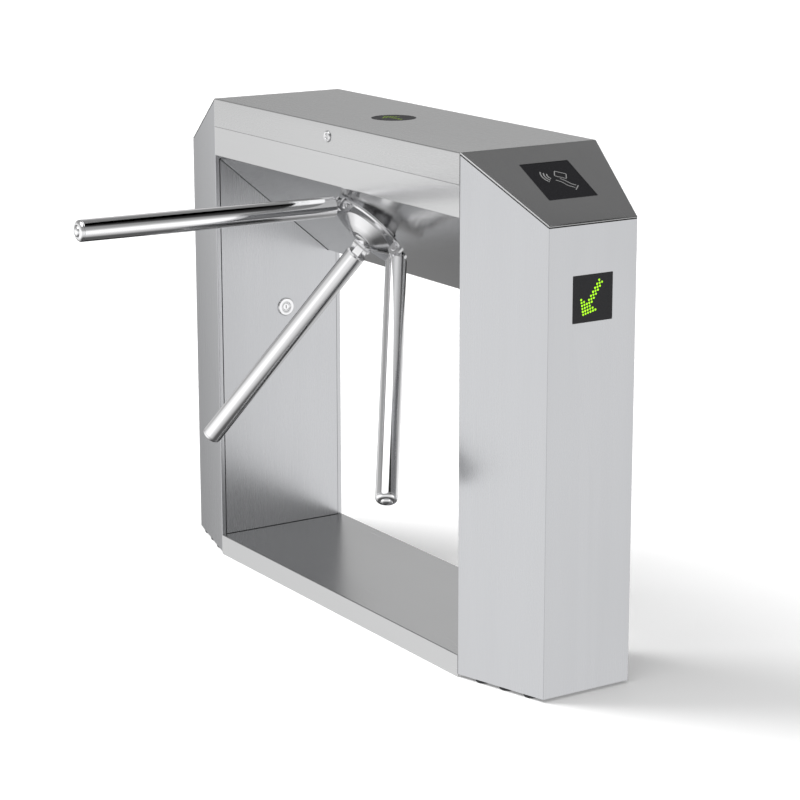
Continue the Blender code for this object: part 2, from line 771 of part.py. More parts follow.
def rotor():
    frame = rotor_frame()
    pivot = group("rotor_axis", frame)
    shaft_profile = [
        (0.0, -0.0105), (SHAFT_RADIUS, -0.0105), (SHAFT_RADIUS, -0.100),
        (TAIL_RADIUS, -0.100), (TAIL_RADIUS, -0.183), (0.0, -0.183),
    ]
    shaft = turned("rotor_shaft", shaft_profile, STEEL, frame, steps=24)
    cap_profile = [
        (0.0, 0.0046), (0.010, 0.0042), (0.0155, 0.0030), (0.0170, 0.0013), (0.0, 0.0013),
    ]
    cap = turned("hub_cap", cap_profile, POLISHED, frame)
    wheel = toothed_wheel("ratchet_wheel", RATCHET_RADIUS, *RATCHET, frame)
    adopt(pivot, hub(frame), shaft, cap, wheel, index_cam(frame))
    for name, phase in ARM_PHASES.items():
        tube, end_cap = arm(f"{name}_arm", phase)
        adopt(pivot, arm_pin(f"{name}_arm", phase))
        if name == "barrier":
            adopt(group("barrier_arm_axis", arm_frame(phase)), tube, end_cap)
        else:
            adopt(pivot, tube, end_cap)


# ---------------------------------------------------------------- drive inside the bridge


def bearings(frame):
    seat, waist = BEARING_RADIUS + GAP, 0.020
    rear, flange = CHASSIS_WEB[1] + GAP, 0.058
    profile = [
        (seat, COLLAR_FRONT), (COLLAR_RADIUS, COLLAR_FRONT), (COLLAR_RADIUS, rear + 0.008),
        (flange, rear + 0.008), (flange, rear), (seat, rear), (seat, -0.065),
        (waist, -0.065), (waist, -0.045), (seat, -0.045),
    ]
    turned("bearing_housing", profile, STEEL, frame, closed=True)
    for name, high in (("front_bearing", -0.0325), ("rear_bearing", -0.0655)):
        low = high - BEARING_WIDTH
        ring = [
            (SHAFT_RADIUS + GAP, high), (BEARING_RADIUS, high),
            (BEARING_RADIUS, low), (SHAFT_RADIUS + GAP, low),
        ]
        turned(name, ring, STEEL, frame, closed=True)


def chassis(frame):
    """The welded frame that carries the drive: a web, two sides and a rear plate."""
    half, rise, wall = CHASSIS_HALF, CHASSIS_RISE, CHASSIS_WALL
    web = box(
        "mechanism_chassis", (-half, -rise, CHASSIS_WEB[0]), (half, rise, CHASSIS_WEB[1]),
        STEEL, frame,
    )
    rear = box(
        "chassis_rear", (-half + 0.001, -0.030, CHASSIS_REAR[0]),
        (half - 0.001, 0.060, CHASSIS_REAR[1]), place=frame, folder=CUTTERS,
    )
    for way in (-1, 1):
        near, far = sorted((way * (half - wall), way * half))
        plate = box(
            f"chassis_side_{way}", (near, -rise - 0.001, CHASSIS_REAR[0] - 0.002),
            (far, rise + 0.001, CHASSIS_FRONT), place=frame, folder=CUTTERS,
        )
        post = cylinder(
            f"pawl_post_{way}", PAWL_POST_RADIUS, RATCHET[0] - 0.004, CHASSIS_WEB[0] + 0.001,
            place=frame @ at(way * PAWL_PIVOT[0], PAWL_PIVOT[1], 0.0),
            segments=SMALL, folder=CUTTERS,
        )
        join(web, plate, post)
    join(web, rear)
    hole = cylinder(
        "shaft_hole", SHAFT_ROOM_RADIUS, -0.3, 0.0, place=frame, segments=24, folder=CUTTERS,
    )
    cut(web, hole)


def pawl(name, way, frame):
    """A locking lever: its nose points at the wheel, its tail at the solenoid's plunger."""
    low, high = RATCHET[0] + 0.001, RATCHET[1] - 0.001
    pivot_x, pivot_y = way * PAWL_PIVOT[0], PAWL_PIVOT[1]
    place = frame @ at(pivot_x, pivot_y, 0.0)
    lever = box(
        name, *ordered((way * -0.003, -0.040, low), (way * 0.004, PAWL_TAIL, high)), STEEL, place,
    )
    nose = box(
        f"{name}_nose", *ordered((way * -0.0085, -0.0425, low), (way * 0.004, -0.0365, high)),
        place=place, folder=CUTTERS,
    )
    boss = cylinder(f"{name}_boss", 0.008, low, high, place=place, segments=24, folder=CUTTERS)
    bore = cylinder(
        f"{name}_bore", PAWL_POST_RADIUS + GAP, low - 0.01, high + 0.01,
        place=place, segments=SMALL, folder=CUTTERS,
    )
    join(lever, nose, boss)
    cut(lever, bore)
    adopt(group(f"{name}_axis", place), lever)


def ordered(first, last):
    """The same two corners with each coordinate's smaller value first."""
    pairs = [sorted(pair) for pair in zip(first, last)]
    return tuple(low for low, _ in pairs), tuple(high for _, high in pairs)


def solenoid(name, way, frame):
    """A coil case bolted to the chassis, and its plunger, which stands against the pawl's tail."""
    height = PAWL_PIVOT[1] + PAWL_TAIL - 0.004
    middle = (RATCHET[0] + RATCHET[1]) / 2
    place = frame @ at(0.0, height, middle)
    case = box(
        f"solenoid_{name}", *ordered((way * 0.0815, -0.0115, -0.012), (way * 0.1155, 0.0115, 0.012)),
        CASING, place,
    )
    across = place @ turn(way * pi / 2, "Y")
    bore = cylinder(
        f"solenoid_bore_{name}", PLUNGER_RADIUS + GAP, 0.07, 0.110,
        place=across, segments=SMALL, folder=CUTTERS,
    )
    cut(case, bore)
    plunger = cylinder(
        f"plunger_{name}", PLUNGER_RADIUS, 0.072, 0.100, BRASS, across, segments=SMALL,
    )
    head = cylinder(
        f"plunger_head_{name}", 0.0065, 0.0710, 0.0745, place=across, segments=SMALL, folder=CUTTERS,
    )
    join(plunger, head)
    adopt(group(f"plunger_axis_{name}", across), plunger)


def drive():
    frame = rotor_frame()
    bearings(frame)
    chassis(frame)
    for name, way in (("left", -1), ("right", 1)):
        pawl(f"pawl_{name}", way, frame)
        solenoid(name, way, frame)
    damper = [(0.0125, -0.1465), (0.034, -0.1465), (0.034, -0.172), (0.0125, -0.172)]
    turned("shaft_damper", damper, CASING, frame, closed=True)
    box(
        "position_sensor", (-0.018, 0.0515, CHASSIS_REAR[1] + GAP), (0.018, 0.0590, -0.1190),
        CIRCUIT, frame,
    )


def electronics():
    rear = SIDE - SHEET - GAP
    box("control_board", (-0.380, rear - 0.012, 0.760), (-0.180, rear, 0.900), CIRCUIT)
    box("power_supply", (0.200, rear - 0.055, 0.700), (0.360, rear, 0.775), CASING)


def main():
    for side, way in (("left", -1), ("right", 1)):
        leg_shell(side)
        slope_panel(side)
        reader(side)
        end_indicator(side)
        foot_plate(side)
        door(side, way)
    bridge()
    base()
    lid()
    lid_lock()
    rotor()
    drive()
    electronics()


main()
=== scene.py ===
import json
from math import cos, pi, radians, sin, sqrt, tan

import bmesh
import bpy
from mathutils import Matrix, Vector


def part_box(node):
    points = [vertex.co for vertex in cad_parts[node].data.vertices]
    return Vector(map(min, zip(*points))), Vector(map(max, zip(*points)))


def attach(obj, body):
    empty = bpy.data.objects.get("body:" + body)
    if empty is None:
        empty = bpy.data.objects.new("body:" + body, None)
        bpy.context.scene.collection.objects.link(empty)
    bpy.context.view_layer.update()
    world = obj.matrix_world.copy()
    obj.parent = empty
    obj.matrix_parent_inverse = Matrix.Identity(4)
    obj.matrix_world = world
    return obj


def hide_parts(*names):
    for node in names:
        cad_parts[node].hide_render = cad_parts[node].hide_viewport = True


# The finished look of a bridge-type tripod turnstile, in metres with +Z up. The legs stand at the
# two ends along X, and the arms come out on the -Y side.

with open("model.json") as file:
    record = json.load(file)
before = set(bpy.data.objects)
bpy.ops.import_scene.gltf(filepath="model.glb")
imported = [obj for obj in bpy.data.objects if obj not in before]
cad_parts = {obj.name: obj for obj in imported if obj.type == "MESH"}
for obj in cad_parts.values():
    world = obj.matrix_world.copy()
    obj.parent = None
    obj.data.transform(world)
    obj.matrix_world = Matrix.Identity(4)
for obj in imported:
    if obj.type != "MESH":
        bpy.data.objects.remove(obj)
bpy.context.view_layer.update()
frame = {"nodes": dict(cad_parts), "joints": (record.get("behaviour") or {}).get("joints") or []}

# ---------------------------------------------------------------- camera and light

CAMERA_PLACE = (4.1366, -2.6291, 1.6350)
CAMERA_AZIMUTH = radians(57.105)
CAMERA_ELEVATION = radians(13.789)
CAMERA_LENS = 113.9
CAMERA_SHIFT = (-0.0173, -0.0104)

SUN_DIRECTION = (-0.62, -0.42, 0.66)
SUN_STRENGTH = 3.1
SUN_SPREAD = radians(36.0)
FLOOR_HALF = 60.0
FLOOR_GLOW = 0.19

# Sky brightness against height on the unit sphere, then patches that add to it or take away:
# azimuth and elevation in degrees, spread of the full level and of its fading edge, level
SKY_LEVELS = (
    (-1.0, 0.08), (-0.90, 0.12), (-0.78, 0.50), (-0.60, 0.76), (-0.40, 0.88), (-0.10, 0.92),
    (0.04, 0.66), (0.14, 0.42), (0.26, 0.38), (0.50, 0.33), (0.80, 0.26), (1.0, 0.20),
)
SKY_PATCHES = (
    (-85.0, 72.0, 26.0, 34.0, 1.5),
    (-110.0, -8.0, 24.0, 46.0, 0.34),
    (30.0, -10.0, 14.0, 34.0, 0.30),
    (146.0, 26.0, 6.0, 16.0, 0.32),
    (52.0, 50.0, 20.0, 32.0, -0.24),
    (158.0, -30.0, 16.0, 40.0, -0.58),
)

# ---------------------------------------------------------------- sizes read from the frame


def points(node):
    return [vertex.co for vertex in frame["nodes"][node].data.vertices]


def extent(node, place):
    """Radius, lowest and highest point of a node, measured about and along local Z of a frame."""
    local = [place.inverted() @ point for point in points(node)]
    radius = max(sqrt(point.x ** 2 + point.y ** 2) for point in local)
    return radius, min(point.z for point in local), max(point.z for point in local)


JOINTS = {joint["name"]: joint for joint in frame["joints"]}
SIDES = {"left": -1, "right": 1}
NEAR = 0.0001

# Sizes that the frame's boxes don't give
SHEET = 0.002
SLOPE_THICKNESS = 0.0025
FOLD_RADIUS = 0.0026
LEG_FOLD = 0.0015
EDGE = 0.0004
ROOM = 0.0003
ARM_TILT = radians(40.0)
ARM_SETBACK = 0.016
SHAFT_HOLE = 0.043
PIN_BORE = 0.0043
BORE_REACH = 0.03
LOCK_HOLE = 0.0083
LOCK_BACK = -0.017
KEY_SLOT = (0.0009, 0.0036)
READER_HALF = 0.0525
LENS_RADIUS = 0.0021
SEAM_GAP = 0.0006

LEG_LOW, LEG_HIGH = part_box("leg_shell_right")
SLOPE_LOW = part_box("slope_panel_right")[0]
BRIDGE_LOW, BRIDGE_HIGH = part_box("bridge_housing")
LID_LOW, LID_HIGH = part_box("lid")
BASE_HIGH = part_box("base_cover")[1]
END_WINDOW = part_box("indicator_window_right")
TOP_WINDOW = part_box("top_indicator_window")

HALF, END, SIDE = LEG_LOW.x, LEG_HIGH.x, LEG_HIGH.y
INNER = BRIDGE_HIGH.x
TOP = LID_HIGH.z
END_HEIGHT = SLOPE_LOW.z + SLOPE_THICKNESS
END_SIDE = max(p.y for p in points("leg_shell_right") if p.x > END - NEAR)
FLANGE_EDGE = max(p.y for p in points("leg_shell_right") if p.x < HALF + NEAR and p.y < SIDE - SHEET)
PANEL_TOP = min(p.z for p in points("bridge_housing") if p.y < -SIDE + NEAR)
PANEL_REAR = min(p.y for p in points("bridge_housing") if p.z < BRIDGE_LOW.z + NEAR)
REAR_SEAM = BRIDGE_HIGH.z
SHELL_DROP = TOP - LEG_HIGH.z


def slope_height(x):
    return TOP - (x - HALF) * (TOP - END_HEIGHT) / (END - HALF)


def side_at(x):
    return SIDE - (x - HALF) * (SIDE - END_SIDE) / (END - HALF)


# ---------------------------------------------------------------- places


def at(x, y, z):
    return Matrix.Translation((x, y, z))


def turn(angle, axis):
    return Matrix.Rotation(angle, 4, axis)


def mirrored(way):
    """Half a turn about Z for the left leg, and nothing for the right one."""
    return Matrix.Identity(4) if way > 0 else turn(pi, "Z")


def axes(origin, x, z):
    """A frame at this point from its local X and local Z."""
    x, z = Vector(x), Vector(z)
    return Matrix.Translation(origin) @ Matrix((x, z.cross(x), z)).transposed().to_4x4()


OUTWARD = Vector(JOINTS["rotor_spin"]["axis"])
ROTOR_CENTRE = Vector(JOINTS["rotor_spin"]["pos_m"])
ROTOR = axes(ROTOR_CENTRE, (1.0, 0.0, 0.0), OUTWARD)
ARM_TURNS = {"barrier_arm": 0.0, "left_arm": 120.0, "right_arm": -120.0}

# Stands a flat outline up: its X goes along a frame's Y, its Y along Z and its thickness along X
SIDEWAYS = Matrix(((0, 0, 1, 0), (1, 0, 0, 0), (0, 1, 0, 0), (0, 0, 0, 1)))


def pin_frame(name):
    """Origin on an arm's pivot pin: local X along the pin, local Z along the rotor's axis."""
    barrier = JOINTS["barrier_arm_drop"]
    place = axes(Vector(barrier["pos_m"]), barrier["axis"], OUTWARD)
    spin = Matrix.Rotation(radians(ARM_TURNS[name]), 4, OUTWARD)
    about = Matrix.Translation(ROTOR_CENTRE) @ spin @ Matrix.Translation(-ROTOR_CENTRE)
    return about @ place


def arm_frame(name):
    """The pin frame, tilted so that local Z runs along the arm."""
    return pin_frame(name) @ turn(-ARM_TILT, "X")


# ---------------------------------------------------------------- material nodes


class Look:
    """A material being built: its nodes, its shader and short ways to add to them."""

    def __init__(self, name, colour, roughness, metallic=0.0, **sockets):
        self.material = bpy.data.materials.new(name)
        self.material.use_nodes = True
        self.nodes = self.material.node_tree.nodes
        self.shader = self.nodes["Principled BSDF"]
        self.set("Base Color", (*colour, 1.0))
        self.set("Roughness", roughness)
        self.set("Metallic", metallic)
        for socket, value in sockets.items():
            self.set(socket.replace("_", " "), value)

    def set(self, socket, value):
        self.shader.inputs[socket].default_value = value

    def add(self, kind, **settings):
        node = self.nodes.new("ShaderNode" + kind)
        for key, value in settings.items():
            setattr(node, key, value)
        return node

    def link(self, source, target):
        self.material.node_tree.links.new(source, target)

    def place(self, scale):
        """Object coordinates in metres, multiplied by one scale or by one for each axis."""
        coordinates = self.add("TexCoord")
        mapping = self.add("Mapping")
        mapping.inputs["Scale"].default_value = (scale,) * 3 if isinstance(scale, float) else scale
        self.link(coordinates.outputs["Object"], mapping.inputs["Vector"])
        return mapping.outputs["Vector"]

    def noise(self, scale, detail=2.0, roughness=0.5):
        """A noise value whose size on each axis is one over the scale, in metres."""
        node = self.add("TexNoise")
        node.inputs["Scale"].default_value = 1.0
        node.inputs["Detail"].default_value = detail
        node.inputs["Roughness"].default_value = roughness
        self.link(self.place(scale), node.inputs["Vector"])
        return node.outputs["Fac"]

    def ranged(self, value, low, high, start=0.3, stop=0.7):
        node = self.add("MapRange")
        node.inputs["From Min"].default_value = start
        node.inputs["From Max"].default_value = stop
        node.inputs["To Min"].default_value = low
        node.inputs["To Max"].default_value = high
        self.link(value, node.inputs["Value"])
        return node.outputs["Result"]

    def shade(self, value, colours, start=0.3, stop=0.7):
        """A colour that runs through these as the value goes from start to stop."""
        ramp = self.add("ValToRGB").color_ramp
        node = self.nodes[-1]
        while len(ramp.elements) < len(colours):
            ramp.elements.new(0.5)
        for index, colour in enumerate(colours):
            ramp.elements[index].position = start + (stop - start) * index / (len(colours) - 1)
            ramp.elements[index].color = (*colour, 1.0)
        self.link(value, node.inputs["Fac"])
        return node.outputs["Color"]

    def multiply(self, first, second):
        node = self.add("Mix", data_type="RGBA", blend_type="MULTIPLY")
        node.inputs["Factor"].default_value = 1.0
        self.link(first, node.inputs[6])
        self.link(second, node.inputs[7])
        return node.outputs[2]

    def total(self, first, second):
        node = self.add("Math", operation="ADD")
        self.link(first, node.inputs[0])
        self.link(second, node.inputs[1])
        return node.outputs[0]

    def to(self, socket, value):
        self.link(value, self.shader.inputs[socket])

    def bump(self, height, strength, distance):
        node = self.add("Bump")
        node.inputs["Strength"].default_value = strength
        node.inputs["Distance"].default_value = distance
        self.link(height, node.inputs["Height"])
        self.to("Normal", node.outputs["Normal"])

    def grain_direction(self, direction):
        """Stretches the highlights across the brushing, which runs along this direction."""
        normal = self.add("NewGeometry")
        cross = self.add("VectorMath", operation="CROSS_PRODUCT")
        cross.inputs[1].default_value = direction
        self.link(normal.outputs["Normal"], cross.inputs[0])
        self.to("Tangent", cross.outputs["Vector"])


def scaled(colour, factor):
    return tuple(min(channel * factor, 1.0) for channel in colour)


def brushed(name, colour, roughness, direction, grain=0.022, anisotropy=0.45):
    """Satin stainless steel: fine scratches along one direction, over broader soft bands."""
    look = Look(name, colour, roughness, 1.0, Anisotropic=anisotropy)
    fine_scale = [12.0 if abs(part) > 0.3 else 1100.0 for part in direction]
    broad_scale = [1.6 if abs(part) > 0.3 else 30.0 for part in direction]
    fine = look.noise(fine_scale, 3.0, 0.6)
    broad = look.noise(broad_scale)
    cloud = look.noise(3.0)
    scratches = look.shade(fine, [scaled(colour, 1 - grain), scaled(colour, 1 + grain)])
    bands = look.shade(broad, [(0.985, 0.985, 0.985), (1.0, 1.0, 1.0)])
    look.to("Base Color", look.multiply(scratches, bands))
    rough = look.ranged(fine, roughness - 0.015, roughness + 0.025)
    look.to("Roughness", look.total(rough, look.ranged(cloud, -0.015, 0.015)))
    look.grain_direction(direction)
    look.bump(fine, 0.02, 0.0001)
    return look.material


def polished(name, colour, roughness):
    """Mirror-polished steel with faint buffing marks and handling smears."""
    look = Look(name, colour, roughness, 1.0)
    marks = look.noise(260.0, 3.0, 0.7)
    smears = look.noise(16.0)
    look.to("Base Color", look.shade(smears, [scaled(colour, 0.975), colour]))
    rough = look.ranged(marks, roughness - 0.012, roughness + 0.012)
    look.to("Roughness", look.total(rough, look.ranged(smears, 0.0, 0.03)))
    look.bump(marks, 0.015, 0.0001)
    return look.material


def gloss_black(name, specular):
    """Smoked acrylic with a few dust specks and wiping marks."""
    look = Look(name, (0.012, 0.012, 0.014), 0.08, 0.0, Specular_IOR_Level=specular)
    dust = look.noise(900.0, 1.0, 0.4)
    wipes = look.noise((30.0, 90.0, 60.0))
    look.to("Base Color", look.shade(dust, [(0.010, 0.010, 0.012), (0.022, 0.022, 0.024)], 0.55, 0.8))
    look.to("Roughness", look.ranged(wipes, 0.06, 0.16))
    return look.material


def light_dot(name, colour, strength):
    """A lit indicator lens, brighter in some dots than in others."""
    look = Look(name, colour, 0.35, 0.0, Specular_IOR_Level=0.05)
    spread = look.noise(120.0, 0.0)
    look.to("Base Color", look.shade(spread, [scaled(colour, 0.7), colour]))
    look.to("Emission Color", look.shade(spread, [scaled(colour, 0.75), colour]))
    look.set("Emission Strength", strength)
    return look.material


def moulded(name, colour, roughness, grain=600.0, depth=0.12):
    """Moulded plastic or rubber with a fine pebbled surface."""
    look = Look(name, colour, roughness)
    pebble = look.noise(grain)
    patch = look.noise(14.0)
    look.to("Base Color", look.shade(patch, [scaled(colour, 0.82), scaled(colour, 1.18)]))
    look.to("Roughness", look.ranged(pebble, roughness - 0.06, roughness + 0.08))
    look.bump(pebble, depth, 0.0003)
    return look.material


def circuit():
    """Green solder mask with copper tracks showing through it as paler lines."""
    look = Look("circuit_board", (0.02, 0.12, 0.06), 0.35)
    bricks = look.add("TexBrick")
    bricks.inputs["Scale"].default_value = 1.0
    bricks.inputs["Mortar Size"].default_value = 0.06
    bricks.inputs["Brick Width"].default_value = 1.7
    bricks.inputs["Row Height"].default_value = 0.6
    bricks.inputs["Color1"].default_value = (0.010, 0.085, 0.040, 1.0)
    bricks.inputs["Color2"].default_value = (0.014, 0.110, 0.052, 1.0)
    bricks.inputs["Mortar"].default_value = (0.070, 0.260, 0.110, 1.0)
    look.link(look.place(160.0), bricks.inputs["Vector"])
    look.to("Base Color", bricks.outputs["Color"])
    look.bump(bricks.outputs["Fac"], 0.1, 0.0002)
    return look.material


def plated(name, colour, roughness):
    """Zinc plate: a faint spangle, and a slightly warm and cool shift between patches."""
    look = Look(name, colour, roughness, 1.0)
    cells = look.add("TexVoronoi")
    cells.inputs["Scale"].default_value = 1.0
    look.link(look.place(140.0), cells.inputs["Vector"])
    patch = look.noise(9.0)
    spangle = look.shade(cells.outputs["Color"], [(0.90, 0.90, 0.90), (1.0, 1.0, 1.0)], 0.0, 1.0)
    red, green, blue = colour
    tint = look.shade(patch, [(red, green, blue * 1.04), (red * 1.03, green, blue * 0.96)])
    look.to("Base Color", look.multiply(tint, spangle))
    look.to("Roughness", look.ranged(patch, roughness - 0.05, roughness + 0.07))
    return look.material


# One brushed stainless steel in several copies, each with a base colour set to how much light its surface
# gets. The upright copy on the legs is darker than the bridge's, which is painted shade.
BRUSHED_UP_PAINTED_SHADE = brushed("brushed_stainless_upright_painted_shade", (0.535, 0.541, 0.556), 0.28, (0.0, 0.0, 1.0))
BRUSHED_LONG = brushed("brushed_stainless_long", (0.610, 0.612, 0.615), 0.26, (1.0, 0.0, 0.0))
BRUSHED_BASE = brushed("brushed_stainless_base", (0.610, 0.612, 0.616), 0.24, (1.0, 0.0, 0.0))
BRUSHED_PANEL = brushed("brushed_stainless_panel", (0.620, 0.622, 0.626), 0.17, (1.0, 0.0, 0.0))
# The sloping tops' copy is darker still, which is painted shade for the dim light that falls on them.
BRUSHED_SLOPE_PAINTED_SHADE = brushed("brushed_stainless_slope_painted_shade", (0.49, 0.491, 0.494), 0.24, (0.877, 0.0, -0.481))
POLISHED = polished("polished_stainless", (0.90, 0.90, 0.91), 0.07)
HUB_STEEL = polished("polished_casting", (0.78, 0.78, 0.79), 0.15)
CHROME = polished("chrome_lock", (0.82, 0.82, 0.83), 0.07)
ZINC = plated("zinc_plate", (0.52, 0.53, 0.54), 0.38)
MACHINED = brushed("machined_steel", (0.56, 0.56, 0.57), 0.28, (0.0, 0.0, 1.0), 0.08, 0.2)
BRASS = polished("turned_brass", (0.66, 0.50, 0.22), 0.22)
COPPER = polished("enamelled_copper", (0.62, 0.25, 0.11), 0.28)
ACRYLIC = gloss_black("smoked_acrylic", 0.22)
SATIN_ACRYLIC = gloss_black("coated_acrylic", 0.004)
LED_LIT = light_dot("led_green", (0.36, 0.80, 0.02), 1.0)
LED_DEEP = light_dot("led_olive", (0.10, 0.16, 0.01), 0.5)
PRINT = moulded("grey_print", (0.30, 0.30, 0.30), 0.6, 900.0, 0.03)
BOARD = circuit()
CASING = moulded("black_casing", (0.030, 0.030, 0.032), 0.5)
RUBBER = moulded("rubber_foot", (0.035, 0.035, 0.038), 0.75)
GREEN_PLASTIC = moulded("green_terminal", (0.03, 0.20, 0.07), 0.4)
WHITE_PLASTIC = moulded("white_connector", (0.70, 0.70, 0.66), 0.45)
BLUE_PLASTIC = moulded("blue_terminal", (0.03, 0.12, 0.36), 0.4)
# A near-black sheet that paints the shade at the bottom of the locks' keyways.
KEYWAY_PAINTED_SHADE = moulded("keyway_painted_shade", (0.012, 0.012, 0.012), 0.7)

# ---------------------------------------------------------------- shapes


def linked(name, data):
    """A new object for a mesh, a light or a camera, in the scene."""
    made = bpy.data.objects.new(name, data)
    bpy.context.scene.collection.objects.link(made)
    return made


def finish_mesh(name, work, look, place=None, smooth=30.0):
    """A bmesh made into an object in a place, smooth except at edges over this many degrees."""
    bmesh.ops.recalc_face_normals(work, faces=work.faces)
    mesh = bpy.data.meshes.new(name)
    work.to_mesh(mesh)
    work.free()
    mesh.transform(place or Matrix.Identity(4))
    mesh.materials.append(look)
    mesh.shade_smooth()
    mesh.set_sharp_from_angle(angle=radians(smooth))
    return linked(name, mesh)


def rounded(outline, radius, steps=5, closed=False):
    """A line of 2D points with its corners turned into arcs."""
    outline = [Vector(point) for point in outline]
    count = len(outline)
    result = []
    for index, corner in enumerate(outline):
        if not closed and index in (0, count - 1):
            result.append(corner)
            continue
        before = outline[index - 1] - corner
        after = outline[(index + 1) % count] - corner
        opening = before.angle(after)
        if opening > pi - 0.05 or radius <= 0.0:
            result.append(corner)
            continue
        reach = min(radius / tan(opening / 2), before.length * 0.48, after.length * 0.48)
        start = corner + before.normalized() * reach
        stop = corner + after.normalized() * reach
        for step in range(steps + 1):
            share = step / steps
            first = start.lerp(corner, share)
            second = corner.lerp(stop, share)
            result.append(first.lerp(second, share))
    return result


def lathe(name, profile, look, place=None, segments=96, fillet=0.0, smooth=30.0):
    """A closed profile of (radius, height) points turned about local Z."""
    work = bmesh.new()
    line = rounded(profile, fillet, 4) if fillet else [Vector(point) for point in profile]
    rings = []
    for radius, height in line:
        if radius < 1e-7:
            rings.append([work.verts.new((0.0, 0.0, height))])
            continue
        ring = []
        for step in range(segments):
            angle = 2 * pi * step / segments
            ring.append(work.verts.new((radius * cos(angle), radius * sin(angle), height)))
        rings.append(ring)
    if len(rings[0]) > 1:
        rings.append(rings[0])
    for first, second in zip(rings, rings[1:]):
        for step in range(segments):
            following = (step + 1) % segments
            corners = [first[step % len(first)], first[following % len(first)]]
            corners += [second[following % len(second)], second[step % len(second)]]
            distinct = list(dict.fromkeys(corners))
            if len(distinct) > 2:
                work.faces.new(distinct)
    return finish_mesh(name, work, look, place, smooth)


def drum(name, radius, low, high, look, place=None, segments=96, fillet=0.0):
    """A round bar about local Z, from height low to height high."""
    profile = [(0.0, low), (radius, low), (radius, high), (0.0, high)]
    return lathe(name, profile, look, place, segments, fillet)


def dome(radius, base, top, steps):
    """Profile of a rounded head, from its crown down to its full radius at the base."""
    angles = [(pi / 2) * step / steps for step in range(steps + 1)]
    return [(radius * sin(angle), base + (top - base) * cos(angle)) for angle in angles]


def rectangle(half_x, half_y):
    return [(-half_x, -half_y), (half_x, -half_y), (half_x, half_y), (-half_x, half_y)]


def polygon(radius, sides):
    return [(radius * cos(2 * pi * k / sides), radius * sin(2 * pi * k / sides)) for k in range(sides)]


def raise_face(work, face, rise):
    """Extrudes a face straight up."""
    raised = bmesh.ops.extrude_face_region(work, geom=[face])["geom"]
    moved = [item for item in raised if isinstance(item, bmesh.types.BMVert)]
    bmesh.ops.translate(work, verts=moved, vec=(0.0, 0.0, rise))


def softened(piece, width=EDGE, segments=2, angle=30.0):
    """Rounds a piece's sharp edges with a bevel."""
    edge = piece.modifiers.new("soft_edges", "BEVEL")
    edge.width = width
    edge.segments = segments
    edge.limit_method = "ANGLE"
    edge.angle_limit = radians(angle)
    edge.harden_normals = True
    edge.miter_outer = "MITER_ARC"
    return piece


def plate(name, outline, low, high, look, place=None, width=EDGE, smooth=30.0):
    """A flat outline in local X and Y, extruded from height low to height high."""
    work = bmesh.new()
    face = work.faces.new([work.verts.new((x, y, low)) for x, y in outline])
    raise_face(work, face, high - low)
    made = finish_mesh(name, work, look, place, smooth)
    return softened(made, width) if width else made


def block(name, low, high, look, place=None, width=EDGE, corner=0.0):
    """A plate with four corners, rounded seen from above where a corner radius is given."""
    (x0, y0, z0), (x1, y1, z1) = low, high
    outline = [(x0, y0), (x1, y0), (x1, y1), (x0, y1)]
    if corner:
        outline = rounded(outline, corner, 4, closed=True)
    return plate(name, outline, z0, z1, look, place, width)


def fixed_mesh(piece):
    """Applies a piece's modifiers to its mesh."""
    graph = bpy.context.evaluated_depsgraph_get()
    mesh = bpy.data.meshes.new_from_object(piece.evaluated_get(graph))
    piece.modifiers.clear()
    piece.data = mesh


def combine(piece, operation, *tools):
    """Cuts these pieces out of a piece or unites them with it, and removes them."""
    for tool in tools:
        step = piece.modifiers.new(operation.lower(), "BOOLEAN")
        step.operation = operation
        step.solver = "EXACT"
        step.object = tool
    bpy.context.view_layer.update()
    fixed_mesh(piece)
    for tool in tools:
        bpy.data.objects.remove(tool)
    piece.data.shade_smooth()
    piece.data.set_sharp_from_angle(angle=radians(28.0))


def merged(name, pieces):
    """Several pieces joined into one object, each with its own material."""
    graph = bpy.context.evaluated_depsgraph_get()
    work = bmesh.new()
    looks = []
    for piece in pieces:
        mesh = bpy.data.meshes.new_from_object(piece.evaluated_get(graph))
        mesh.transform(piece.matrix_world)
        look = mesh.materials[0]
        if look not in looks:
            looks.append(look)
        start = len(work.faces)
        work.from_mesh(mesh)
        work.faces.ensure_lookup_table()
        for index in range(start, len(work.faces)):
            work.faces[index].material_index = looks.index(look)
        bpy.data.objects.remove(piece)
        bpy.data.meshes.remove(mesh)
    mesh = bpy.data.meshes.new(name)
    work.to_mesh(mesh)
    work.free()
    for look in looks:
        mesh.materials.append(look)
    return linked(name, mesh)


def folded(name, path, look, rows, place=None, fold=FOLD_RADIUS):
    """A bent sheet: a path with rounded folds, drawn between two rows, thickened inwards."""
    line = rounded(path, fold, 6)
    work = bmesh.new()
    first, last = ([work.verts.new(row(x, y)) for x, y in line] for row in rows)
    for index in range(len(line) - 1):
        work.faces.new((first[index], first[index + 1], last[index + 1], last[index]))
    mesh = bpy.data.meshes.new(name)
    work.to_mesh(mesh)
    work.free()
    mesh.materials.append(look)
    mesh.transform(place or Matrix.Identity(4))
    made = linked(name, mesh)
    skin = made.modifiers.new("sheet", "SOLIDIFY")
    skin.thickness = SHEET
    skin.offset = -1.0
    skin.use_even_offset = True
    return made


def rides(piece, body):
    """Fixes a piece to a body."""
    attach(piece, body)


def stands_for(piece, body, slot, *nodes):
    """Shows a piece in the place of these CAD nodes."""
    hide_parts(*nodes)
    rides(piece, body)


# ---------------------------------------------------------------- casing


